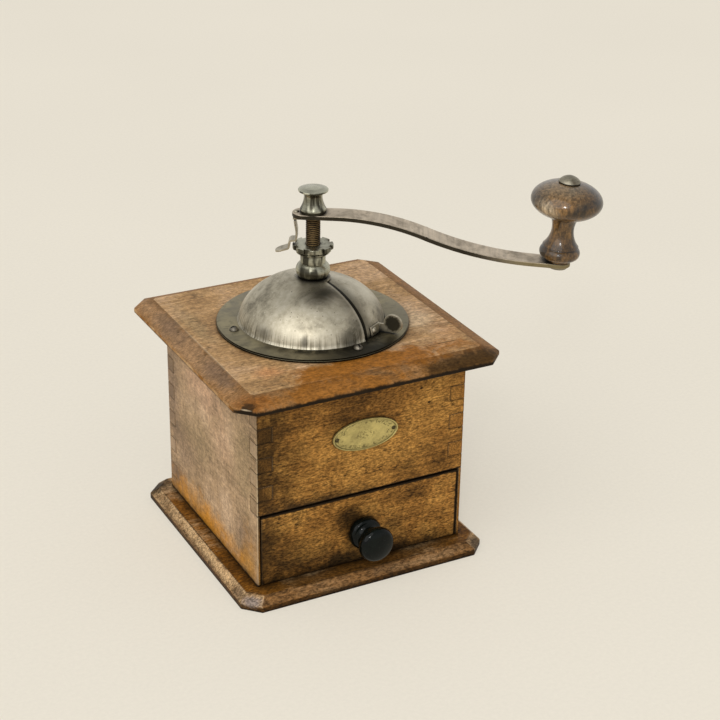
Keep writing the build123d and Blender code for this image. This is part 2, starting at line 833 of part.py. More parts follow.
# Dished washer and notched adjusting nut on the collar
with BuildPart() as thrust_washer:
    with BuildSketch(Plane.XZ):
        with BuildLine():
            Polyline(
                (spindle_r + run_fit, collar_top),
                (washer_flat_r, collar_top),
                (washer_r, collar_top + washer_dish),
                (washer_r, washer_top),
                (spindle_r + run_fit, washer_top),
                close=True,
            )
        make_face()
    revolve(axis=Axis.Z)
hand_out(thrust_washer, "thrust_washer")

with BuildPart() as adjusting_nut:
    with BuildSketch(Plane.XZ):
        with BuildLine():
            Polyline(
                (spindle_r + run_fit, washer_top),
                (nut_under_r, washer_top),
                (nut_r, nut_top - nut_rim_h),
                (nut_r, nut_top),
                (spindle_r + run_fit, nut_top),
                close=True,
            )
        make_face()
    revolve(axis=Axis.Z)
    with PolarLocations(nut_r, nut_notches):
        with Locations((0, 0, nut_top)):
            Box(2 * nut_notch_depth, nut_notch_w, 4 * nut_h, mode=Mode.SUBTRACT)
hand_out(adjusting_nut, "adjusting_nut")

# Crank arm: a flat bar that falls in an S from its eye to the knob's pin
arm_side = radial_plane(arm_angle)
arm_out = arm_side.x_dir
arm_plan = Plane(origin=(0, 0, arm_under), x_dir=arm_out, z_dir=(0, 0, 1))
tail_side = radial_plane(arm_angle + 180)
tail_plan = Plane(origin=(0, 0, arm_under), x_dir=tail_side.x_dir, z_dir=(0, 0, 1))
steep = radians(arm_slope)
end_tilt = radians(arm_end_slope)
bend_r_at = arm_flat + arm_bend_down_r * sin(steep) + arm_bend_up_r * (sin(steep) - sin(end_tilt))
bend_drop = arm_bend_down_r * (1 - cos(steep)) + arm_bend_up_r * (cos(end_tilt) - cos(steep))
pin_drop = bend_drop + (pin_reach - bend_r_at) * tan(end_tilt) - arm_t / cos(end_tilt)
pin_up = arm_out * sin(end_tilt) + Vector(0, 0, cos(end_tilt))
pin_seat = arm_side.from_local_coords((pin_reach, arm_under - pin_drop, 0))
pin_out = arm_out * cos(end_tilt) - Vector(0, 0, sin(end_tilt))
pin_side = Plane(origin=pin_seat, x_dir=pin_out, z_dir=arm_side.z_dir)
pin_flat = Plane(origin=pin_seat, x_dir=pin_out, z_dir=pin_up)
pin_axis = Axis(pin_seat, pin_up)
arm_end_run = (pin_reach + arm_end_w / 2 - bend_r_at) / cos(end_tilt) + arm_t
leaf_rivet_r_at = eye_washer_r + part_gap + latch_rivet_head_r
with BuildPart() as crank_arm:
    with BuildSketch(arm_side):
        with BuildLine() as arm_line:
            flat = Line((-2 * arm_tail, arm_under), (arm_flat, arm_under))
            fall = JernArc(flat @ 1, flat % 1, arm_bend_down_r, -arm_slope)
            level = JernArc(fall @ 1, fall % 1, arm_bend_up_r, arm_slope - arm_end_slope)
            Line(level @ 1, level @ 1 + (level % 1) * arm_end_run)
            offset(arm_line.line, amount=arm_t, side=Side.LEFT)
        make_face()
    extrude(amount=arm_mid_w, both=True)
    with BuildSketch(arm_plan):
        with Locations((arm_tail_w / 2 - arm_tail, 0)):
            Circle(arm_tail_w / 2)
        with Locations((arm_mid_reach, 0)):
            Circle(arm_mid_w / 2)
        with Locations((pin_reach, 0)):
            Circle(arm_end_w / 2)
        make_hull()
    extrude(amount=2 * bend_drop, both=True, mode=Mode.INTERSECT)
    with BuildSketch(arm_plan):
        Rectangle(seat_square + 2 * hole_fit, seat_square + 2 * hole_fit)
    extrude(amount=2 * arm_t, both=True, mode=Mode.SUBTRACT)
    with BuildSketch(pin_flat):
        Circle(pin_r + hole_fit)
    extrude(amount=2 * arm_t, both=True, mode=Mode.SUBTRACT)
    with BuildSketch(tail_plan):
        with Locations((leaf_rivet_r_at, 0)):
            Circle(latch_rivet_r + hole_fit)
    extrude(amount=2 * arm_t, both=True, mode=Mode.SUBTRACT)
hand_out(crank_arm, "crank_arm")

with BuildPart() as eye_washer:
    with Locations((0, 0, arm_top)):
        Cylinder(eye_washer_r, eye_washer_h, align=(Align.CENTER, Align.CENTER, Align.MIN))
        Cylinder(stud_r + hole_fit, 4 * eye_washer_h, mode=Mode.SUBTRACT)
hand_out(eye_washer, "eye_washer")

with BuildPart() as cap_nut:
    with BuildSketch(Plane.XZ):
        with BuildLine():
            flare = ThreePointArc(
                (cap_foot_r, eye_washer_top + cap_foot_h),
                (cap_flare_r, eye_washer_top + cap_flare_z),
                (cap_neck_r, eye_washer_top + cap_neck_z),
            )
            saucer = ThreePointArc(
                flare @ 1,
                (cap_saucer_r, eye_washer_top + cap_saucer_z),
                (cap_rim_r, eye_washer_top + cap_rim_z),
            )
            Line(saucer @ 1, (cap_rim_r, eye_washer_top + cap_rim_z + cap_rim_h))
            cap_rise = cap_h - cap_rim_z - cap_rim_h
            crown = cap_arc(cap_rim_r, eye_washer_top + cap_h - cap_rise, cap_rise)
            Polyline(crown @ 1, (0, eye_washer_top), (cap_foot_r, eye_washer_top), flare @ 0)
        make_face()
    revolve(axis=Axis.Z)
    with Locations((0, 0, eye_washer_top)):
        Cylinder(stud_r + hole_fit, 2 * (stud_bite + hole_fit), mode=Mode.SUBTRACT)
hand_out(cap_nut, "cap_nut")

# Crank knob on its riveted pin
pin_top = knob_l + 2 * part_gap
with BuildPart() as knob_pin:
    with BuildSketch(pin_side):
        with BuildLine():
            dome_head = cap_arc(pin_head_r, pin_top, pin_head_h)
            Polyline(
                dome_head @ 1,
                (0, -arm_t - pin_foot_h),
                (0.8 * pin_foot_r, -arm_t - pin_foot_h),
                (pin_foot_r, -arm_t - 0.5 * pin_foot_h),
                (pin_foot_r, -arm_t),
                (pin_r, -arm_t),
                (pin_r, pin_top),
                dome_head @ 0,
            )
        make_face()
    revolve(axis=pin_axis)
hand_out(knob_pin, "knob_pin")

with BuildPart() as crank_knob:
    with BuildSketch(pin_side):
        with BuildLine():
            bulge = ThreePointArc(
                (knob_foot_edge_r, knob_heel_h),
                (knob_foot_r, knob_foot_z),
                (knob_waist_r, knob_waist_z),
            )
            neck = ThreePointArc(bulge @ 1, (knob_neck_r, knob_neck_z), (knob_throat_r, knob_throat_z))
            Polyline(
                neck @ 1,
                (knob_throat_r, knob_cap_z),
                (0, knob_cap_z),
                (0, part_gap),
                (knob_heel_r, part_gap),
                (knob_heel_r, knob_heel_h),
                bulge @ 0,
            )
        make_face()
        with BuildLine():
            upper = EllipticalCenterArc((0, knob_cap_z), knob_cap_r, knob_cap_up)
            Polyline(upper @ 1, (0, knob_cap_z), upper @ 0)
        make_face()
        with BuildLine():
            lower = EllipticalCenterArc((0, knob_cap_z), knob_cap_r, knob_cap_down, start_angle=270)
            Polyline(lower @ 1, (0, knob_cap_z), lower @ 0)
        make_face()
        with Locations((0, knob_l + part_gap)):
            Rectangle(knob_cap_r, knob_l, align=Align.MIN, mode=Mode.SUBTRACT)
        Rectangle(2 * (pin_r + run_fit), 4 * knob_l, mode=Mode.SUBTRACT)
    revolve(axis=pin_axis)
hand_out(crank_knob, "crank_knob")

# Spring latch: a leaf riveted under the tail and the hanging strip with its finger tab
with BuildPart() as latch_leaf:
    with BuildSketch(tail_plan):
        with Locations((leaf_rivet_r_at + latch_rivet_head_r, 0)):
            Rectangle(latch_leaf_l, latch_w, align=(Align.MAX, Align.CENTER))
        with Locations((leaf_rivet_r_at, 0)):
            Circle(latch_rivet_r + hole_fit, mode=Mode.SUBTRACT)
    extrude(amount=-latch_t)
hand_out(latch_leaf, "latch_leaf")

latch_rivet_l = arm_t + latch_t
latch_rivet_solid = round_screw(
    latch_rivet_head_r, latch_rivet_head_h, latch_rivet_r, latch_rivet_l, slotted=False
)
with BuildPart() as latch_rivet:
    with Locations(tail_plan.offset(arm_t).location * Location((leaf_rivet_r_at, 0, 0))):
        add(latch_rivet_solid)
hand_out(latch_rivet, "latch_rivet")

latch_hinge_z = arm_under - latch_t - part_gap - latch_t / 2
latch_tab_z = nut_top + nut_travel + latch_clear
latch_tab_mid_z = latch_tab_z + latch_t / 2
latch_tab_bend_r_at = nut_r + latch_clear + latch_t / 2
latch_tab_drop = (latch_tab_reach - latch_tab_bend_r_at) * tan(radians(latch_tab_slope))
with BuildPart() as latch_strip:
    with BuildSketch(tail_side):
        with BuildLine() as latch_line:
            FilletPolyline(
                (latch_hang_r, latch_hinge_z),
                (latch_hang_r - latch_t, latch_tab_z + 0.5 * (latch_hinge_z - latch_tab_z)),
                (latch_hang_r - latch_t, latch_tab_mid_z),
                (latch_tab_bend_r_at, latch_tab_mid_z),
                (latch_tab_bend_r_at, latch_tab_mid_z - latch_step),
                (latch_tab_reach, latch_tab_mid_z - latch_step - latch_tab_drop),
                radius=latch_bend_r,
            )
        trace(latch_line.line, line_width=latch_t)
    extrude(amount=latch_w, both=True)
    with BuildSketch(tail_plan):
        with Locations((latch_tab_reach - latch_w / 2, 0)):
            Circle(latch_w / 2)
            Rectangle(latch_tab_reach, latch_w, align=(Align.MAX, Align.CENTER))
    extrude(amount=2 * arm_gap, both=True, mode=Mode.INTERSECT)
hand_out(latch_strip, "latch_strip")

# Joint places for the latch and the knob
print("latch hinge", tail_side.from_local_coords((latch_hang_r, latch_hinge_z, 0)), tail_side.z_dir)
print("knob pin", pin_seat, pin_up)
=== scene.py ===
"""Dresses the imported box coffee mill: worn beech boards, a steel dome and shutter, the crank with its
turned knob, and the drawer. Sizes in the code are millimetres unless a name says otherwise."""

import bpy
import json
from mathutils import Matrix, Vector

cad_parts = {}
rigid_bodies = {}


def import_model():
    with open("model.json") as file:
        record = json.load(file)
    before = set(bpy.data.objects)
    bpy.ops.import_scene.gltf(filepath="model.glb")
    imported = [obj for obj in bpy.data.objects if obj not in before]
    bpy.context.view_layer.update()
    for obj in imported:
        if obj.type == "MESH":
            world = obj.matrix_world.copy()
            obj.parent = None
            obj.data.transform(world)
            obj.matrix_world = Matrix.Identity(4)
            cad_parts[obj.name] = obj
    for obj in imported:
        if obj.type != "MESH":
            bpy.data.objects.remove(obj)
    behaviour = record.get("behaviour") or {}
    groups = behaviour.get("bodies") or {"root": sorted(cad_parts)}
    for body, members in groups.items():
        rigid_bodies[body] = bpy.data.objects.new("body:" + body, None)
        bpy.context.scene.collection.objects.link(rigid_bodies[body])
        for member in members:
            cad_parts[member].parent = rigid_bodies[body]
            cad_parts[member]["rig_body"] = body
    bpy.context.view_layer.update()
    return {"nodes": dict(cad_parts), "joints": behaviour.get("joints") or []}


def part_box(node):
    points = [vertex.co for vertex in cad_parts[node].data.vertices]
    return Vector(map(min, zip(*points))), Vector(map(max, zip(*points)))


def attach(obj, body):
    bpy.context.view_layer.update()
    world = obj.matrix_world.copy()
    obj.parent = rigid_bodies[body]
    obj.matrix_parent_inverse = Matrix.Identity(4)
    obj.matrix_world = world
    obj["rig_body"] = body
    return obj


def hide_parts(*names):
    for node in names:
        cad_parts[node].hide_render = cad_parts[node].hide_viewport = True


bl_info = {
    "name": "Box Coffee Mill",
    "version": (1, 0, 0),
    "blender": (4, 5, 0),
    "location": "View3D > Sidebar > Mill",
    "description": "Builds the worn pieces of a box coffee mill around its packed frame",
    "category": "Object",
}

import json
from math import asin, cos, pi, radians, sin

import bpy
from bpy.props import FloatProperty, FloatVectorProperty, IntProperty, PointerProperty
from mathutils import Matrix, Vector

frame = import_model()

MM = 0.001
JOINT_OF = {row["name"]: row for row in frame["joints"]}
SAME_POINT = 0.001 * MM
SAME_CAD_POINT = 0.002 * MM
FLAT_FACET = radians(0.05)
SHARP_EDGE = 28.0
SENSOR_WIDTH = 36.0


def end_of(node, side, axis):
    """Where a CAD piece ends along an axis, in millimetres: side 0 is its low end, 1 its high end."""
    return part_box(node)[side][axis] / MM


def middle_of(node, axis):
    """Middle of a CAD piece along an axis, in millimetres."""
    return (end_of(node, 0, axis) + end_of(node, 1, axis)) / 2


def heights_of(node):
    """Heights at which a CAD piece starts and ends, in millimetres."""
    return end_of(node, 0, 2), end_of(node, 1, 2)


LEFT, RIGHT = end_of("left_side", 0, 0), end_of("right_side", 1, 0)
FRONT, BACK = end_of("front_panel", 0, 1), end_of("back_panel", 1, 1)
TOP = end_of("top_plate", 1, 2)
CASE_FOOT = end_of("base_plate", 1, 2)
MOUTH_START = -73.0
MOUTH_SWEEP = 122.0
MOUTH_ACROSS = (cos(radians(MOUTH_START + 90.0)), sin(radians(MOUTH_START + 90.0)), 0.0)


def paint(red, green, blue):
    """Colour given as screen values from 0 to 255, in the linear numbers that nodes use."""
    def linear(value):
        part = value / 255.0
        return part / 12.92 if part <= 0.04045 else ((part + 0.055) / 1.055) ** 2.4
    return tuple(linear(v) for v in (red, green, blue))


def dimmed(tone, share):
    """A tone times a share, no lighter than white."""
    return tuple(min(1.0, v * share) for v in tone)


PINK, PLUM, OLIVE = paint(190, 152, 122), paint(94, 75, 62), paint(142, 122, 88)
# The second dark tone here also paints shade under the top board and over the drawer.
ORANGE, SOOT_AND_SHADE = paint(196, 136, 88), paint(44, 32, 17)


def colour_of(label, description, tone):
    """Colour setting of the finishes."""
    return FloatVectorProperty(
        name=label, description=description, subtype="COLOR", size=3, min=0.0, max=1.0, default=tone
    )


def length_of(label, description, metres, largest):
    """Length setting of the pieces."""
    return FloatProperty(
        name=label, description=description, default=metres, min=0.00005, max=largest,
        unit="LENGTH", precision=5,
    )


class MillSizes(bpy.types.PropertyGroup):
    """Wear and fineness of the pieces"""

    board_edge: length_of("Board edge", "Rounding worn onto the arrises of the top board", 0.0009, 0.003)
    joint_edge: length_of("Joint edge", "Rounding on the base and along the finger joints", 0.00045, 0.002)
    drawer_edge: length_of("Drawer edge", "Rounding on the drawer's boards", 0.0005, 0.002)
    sheet_edge: length_of("Sheet edge", "Rounding on sheet metal and small fittings", 0.00022, 0.001)
    bar_edge: length_of("Bar edge", "Rounding along the crank's flat bar", 0.0005, 0.002)
    thread_pitch: length_of("Thread pitch", "Rise of the spindle's thread in one turn", 0.0011, 0.004)
    thread_depth: length_of("Thread depth", "Depth of the spindle's thread", 0.00055, 0.002)
    turn_steps: IntProperty(
        name="Turning steps", description="Faces round a turned piece", default=112, min=24, max=256
    )


class MillColours(bpy.types.PropertyGroup):
    """Colours of the finishes"""

    front_dark: colour_of("Front, dark", "Dark parts of the front boards", paint(68, 45, 18))
    front_mid: colour_of("Front, middle", "Main colour of the front boards", paint(137, 95, 44))
    front_light: colour_of("Front, light", "Rubbed parts of the front boards", paint(174, 128, 64))
    side_dark: colour_of("Side, dark", "Dark parts of the side boards", paint(128, 104, 74))
    side_mid: colour_of("Side, middle", "Main colour of the bleached side boards", paint(166, 138, 106))
    side_light: colour_of("Side, light", "Pale parts of the side boards", paint(186, 158, 128))
    top_dark: colour_of("Top, dark", "Dark parts of the top board", paint(138, 104, 66))
    top_mid: colour_of("Top, middle", "Main colour of the top board", paint(172, 136, 92))
    top_light: colour_of("Top, light", "Pale parts of the top board", paint(192, 158, 122))
    bevel: colour_of("Bevel", "Darker varnish left on the top board's bevels", paint(132, 90, 46))
    base_dark: colour_of("Base, dark", "Dark parts of the base board", paint(70, 44, 14))
    base_mid: colour_of("Base, middle", "Main colour of the base board", paint(126, 82, 28))
    base_light: colour_of("Base, light", "Rubbed parts of the base board", paint(184, 153, 112))
    amber: colour_of("Amber varnish", "Old varnish that has run and yellowed", paint(190, 130, 44))
    bare: colour_of("Bare wood", "Pale wood where an arris has lost its varnish", paint(206, 184, 150))
    # This dark tone paints soiling and also painted shade: under the top board, in the drawer's gaps and in
    # corners.
    grime_and_shade: colour_of("Grime", "Dirt in corners, joints and pores", paint(26, 19, 10))
    inner_wood: colour_of("Inner wood", "Unvarnished wood inside the case", paint(190, 154, 110))
    steel: colour_of("Sheet steel", "Rubbed sheet steel of the dome", paint(210, 203, 184))
    steel_dull: colour_of("Dull steel", "Dull sheet steel between the rubbed parts", paint(176, 168, 148))
    steel_stain: colour_of("Steel stain", "Brown-grey tarnish on the steel", paint(88, 83, 68))
    flange: colour_of("Flange", "Dark tarnish on the flanges", paint(158, 148, 118))
    turned_steel: colour_of("Turned steel", "Bright turned steel", paint(178, 176, 156))
    bar_steel: colour_of("Bar steel", "Flat bar of the crank", paint(206, 191, 169))
    rust: colour_of("Rust", "Rust brown on the thread and in the notches", paint(78, 58, 34))
    brass: colour_of("Brass", "Dull brass of the oval plate", paint(180, 164, 102))
    brass_dark: colour_of("Dark brass", "Tarnish on the brass", paint(96, 86, 46))
    lacquer: colour_of("Black lacquer", "Drawer pull", paint(5, 9, 7))
    walnut_dark: colour_of("Walnut, dark", "Dark turned wood of the crank's knob", paint(42, 32, 19))
    walnut_amber: colour_of("Walnut, amber", "Amber patches on the crank's knob", paint(112, 82, 44))
    iron: colour_of("Cast iron", "Grinding parts", paint(66, 64, 62))
    screws: colour_of("Screw steel", "Small screws and rivets", paint(172, 164, 148))


class MillStage(bpy.types.PropertyGroup):
    """Floor, light and camera"""

    floor: colour_of("Floor", "Colour of the pale floor", paint(231, 224, 209))
    floor_half: FloatProperty(
        name="Floor half width", description="Half the width of the floor", default=9.0, min=1.0,
        unit="LENGTH",
    )
    floor_glow: FloatProperty(
        name="Floor glow", description="Share of the floor that the camera sees without shade",
        default=0.55, min=0.0, max=0.9, subtype="FACTOR",
    )
    key_power: FloatProperty(
        name="Key light", description="Strength of the broad light from the left", default=1.3,
        min=0.0, max=6.0,
    )
    key_spread: FloatProperty(
        name="Key spread", description="How wide the key light is, seen from the mill",
        default=radians(64.0), min=0.0, max=pi, subtype="ANGLE", unit="ROTATION",
    )
    key_place: FloatVectorProperty(
        name="Key place", description="Side that the key light comes from", subtype="TRANSLATION",
        unit="LENGTH", default=(-1.3, -0.75, 1.5),
    )
    key_tint: colour_of("Key tint", "Colour of the key light", (1.0, 0.985, 0.96))
    glint_power: FloatProperty(
        name="Glint light", description="Power of the small light that glints on lacquer and steel",
        default=5.0, min=0.0, unit="POWER",
    )
    glint_size: length_of("Glint light size", "Width of the small light", 0.2, 1.0)
    glint_place: FloatVectorProperty(
        name="Glint place", description="Where the small light hangs", subtype="TRANSLATION",
        unit="LENGTH", default=(-0.75, -1.2, 1.05),
    )
    sky_power: FloatProperty(
        name="Sky", description="Strength of the soft light from all round", default=0.86, min=0.0, max=2.0
    )
    camera_place: FloatVectorProperty(
        name="Camera place", description="Where the camera stands", subtype="TRANSLATION", unit="LENGTH",
        default=(-0.3876804, -0.7828826, 0.5240072),
    )
    camera_turn: FloatVectorProperty(
        name="Camera turn", description="How the camera is turned", subtype="EULER", unit="ROTATION",
        default=tuple(radians(a) for a in (64.33533627, -0.92350041, -27.63903924)),
    )
    camera_lens: FloatProperty(
        name="Lens", description="Focal length on a 36 mm frame, in millimetres", default=86.863, min=10.0
    )


# Shaping


def lay_down():
    """Leave edit mode and drop every selection."""
    if bpy.context.object is not None and bpy.context.object.mode != "OBJECT":
        bpy.ops.object.mode_set(mode="OBJECT")
    bpy.ops.object.select_all(action="DESELECT")


def pick_up(piece):
    """Select one piece alone and make it the active one."""
    lay_down()
    piece.select_set(True)
    bpy.context.view_layer.objects.active = piece


def settle(piece):
    """Put the piece's place and turn into its mesh."""
    pick_up(piece)
    bpy.ops.object.transform_apply(location=True, rotation=True, scale=True)
    return piece


def apply(piece, kind, **settings):
    """Add a modifier with its settings and apply it."""
    pick_up(piece)
    tool = piece.modifiers.new(kind.lower(), kind)
    for name, value in settings.items():
        setattr(tool, name, value)
    bpy.ops.object.modifier_apply(modifier=tool.name)


def smooth(piece, degrees):
    """Shade the piece smooth, apart from its sharp edges."""
    pick_up(piece)
    bpy.ops.object.shade_smooth_by_angle(angle=radians(degrees))


def mark_worn_edges(piece, shortest):
    """Give bevel weight to the edges that wear: sharp ones that aren't the facets of a small hole."""
    mesh = piece.data
    normals = {}
    for face in mesh.polygons:
        for key in face.edge_keys:
            normals.setdefault(key, []).append(face.normal.copy())
    weight = mesh.attributes.new("bevel_weight_edge", "FLOAT", "EDGE")
    for edge in mesh.edges:
        sides = normals.get(tuple(sorted(edge.vertices)), ())
        first, last = (mesh.vertices[v].co for v in edge.vertices)
        if len(sides) != 2 or (first - last).length <= shortest * MM:
            continue
        if sides[0].angle(sides[1], 0.0) > radians(SHARP_EDGE):
            weight.data[edge.index].value = 1.0


def worn_copy(node, name, edge, steps=2, shortest=1.5):
    """Copy of a CAD piece with its facets merged and its sharp edges worn round."""
    piece = bpy.data.objects.new(name, frame["nodes"][node].data.copy())
    bpy.context.scene.collection.objects.link(piece)
    piece.data.materials.clear()
    pick_up(piece)
    bpy.ops.object.mode_set(mode="EDIT")
    bpy.ops.mesh.select_all(action="SELECT")
    bpy.ops.mesh.remove_doubles(threshold=SAME_CAD_POINT)
    bpy.ops.mesh.dissolve_limited(angle_limit=FLAT_FACET)
    bpy.ops.object.mode_set(mode="OBJECT")
    mark_worn_edges(piece, shortest)
    apply(piece, "BEVEL", width=edge, segments=steps, limit_method="WEIGHT", use_clamp_overlap=False)
    smooth(piece, SHARP_EDGE + 6.0)
    apply(piece, "WEIGHTED_NORMAL", keep_sharp=True, weight=60)
    return piece


def drawn(name, points):
    """New piece that is one line of points in the XZ plane, drawn out from a single point."""
    lay_down()
    bpy.ops.mesh.primitive_circle_add(vertices=3, radius=MM, fill_type="NOTHING", location=(0, 0, 0))
    piece = bpy.context.object
    piece.name = name
    bpy.ops.object.mode_set(mode="EDIT")
    bpy.ops.mesh.select_all(action="SELECT")
    bpy.ops.mesh.merge(type="CENTER")
    bpy.ops.transform.translate(value=(points[0][0] * MM, 0, points[0][1] * MM))
    for (r0, z0), (r1, z1) in zip(points, points[1:]):
        bpy.ops.mesh.extrude_region_move(
            TRANSFORM_OT_translate={"value": ((r1 - r0) * MM, 0, (z1 - z0) * MM)}
        )
    bpy.ops.mesh.select_all(action="SELECT")
    bpy.ops.mesh.remove_doubles(threshold=SAME_POINT)
    return piece


def close_up(piece):
    """Merge doubles, turn the faces outwards and leave edit mode."""
    bpy.ops.mesh.select_all(action="SELECT")
    bpy.ops.mesh.remove_doubles(threshold=SAME_POINT)
    bpy.ops.mesh.normals_make_consistent(inside=False)
    bpy.ops.object.mode_set(mode="OBJECT")
    return piece


def turned(name, points):
    """Piece turned round the mill's axis from a line of (radius, height) points."""
    steps = bpy.context.scene.mill_sizes.turn_steps
    piece = drawn(name, points)
    bpy.ops.mesh.spin(steps=steps, angle=2 * pi, center=(0, 0, 0), axis=(0, 0, 1))
    return close_up(piece)


def wedge(name, inner, low, start, sweep, outer=60.0, high=170.0, steps=48):
    """Sector of a ring, in degrees from the X axis, used to cut sheet metal."""
    piece = drawn(name, ((inner, low), (outer, low), (outer, high), (inner, high), (inner, low)))
    bpy.ops.mesh.edge_face_add()
    bpy.ops.mesh.spin(steps=steps, angle=-radians(sweep), center=(0, 0, 0), axis=(0, 0, 1))
    close_up(piece)
    piece.rotation_euler.z = radians(start)
    return settle(piece)


def cut_away(piece, cutter):
    """Cut one piece out of another and drop the cutter."""
    apply(piece, "BOOLEAN", operation="DIFFERENCE", solver="EXACT", object=cutter)
    bpy.data.objects.remove(cutter)


def set_down(piece, spot, up):
    """Put a piece that was turned upright on its own axis: its foot at spot, its top towards up."""
    turn = Vector(up).to_track_quat("Z", "Y").to_matrix().to_4x4()
    piece.matrix_world = Matrix.Translation(Vector(spot) * MM) @ turn
    return settle(piece)


def arc(first, middle, last, count):
    """Points of the circle through three points, from the first to the last."""
    (ax, ay), (bx, by), (cx, cy) = first, middle, last
    twice = 2 * (ax * (by - cy) + bx * (cy - ay) + cx * (ay - by))
    a2, b2, c2 = ax * ax + ay * ay, bx * bx + by * by, cx * cx + cy * cy
    hub = Vector((
        (a2 * (by - cy) + b2 * (cy - ay) + c2 * (ay - by)) / twice,
        (a2 * (cx - bx) + b2 * (ax - cx) + c2 * (bx - ax)) / twice,
    ))
    start, via, end = (Vector(p) - hub for p in (first, middle, last))
    turn = start.angle_signed(end)
    by_way = start.angle_signed(via)
    if turn * by_way < 0 or abs(by_way) > abs(turn):
        turn -= 2 * pi if turn > 0 else -2 * pi
    spokes = [Matrix.Rotation(-turn * i / count, 2) @ start + hub for i in range(count + 1)]
    return [tuple(p) for p in spokes]


def ellipse(hub_z, wide, tall, low, high, count):
    """Points of an upright ellipse on the axis between two angles, in degrees above level."""
    steps = [radians(low + (high - low) * i / count) for i in range(count + 1)]
    return [(wide * cos(a), hub_z + tall * sin(a)) for a in steps]


def cap(edge_r, edge_z, rise, count):
    """Points of a ball's cap from its edge to its top on the axis."""
    ball = (edge_r**2 + rise**2) / (2 * rise)
    whole = asin(edge_r / ball)
    steps = [whole * (1 - i / count) for i in range(count + 1)]
    return [(ball * sin(a), edge_z + rise - ball * (1 - cos(a))) for a in steps]


def fit(piece, finish, *nodes):
    """Let a finished piece stand for its CAD nodes: same body, with its finish, the nodes hidden."""
    piece.data.materials.clear()
    piece.data.materials.append(finish)
    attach(piece, frame["nodes"][nodes[0]]["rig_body"])
    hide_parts(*nodes)


def dress(finish, *nodes):
    """Give CAD pieces that keep their shape a finish of their own."""
    for node in nodes:
        slots = frame["nodes"][node].data.materials
        slots.clear()
        slots.append(finish)


# Finishes


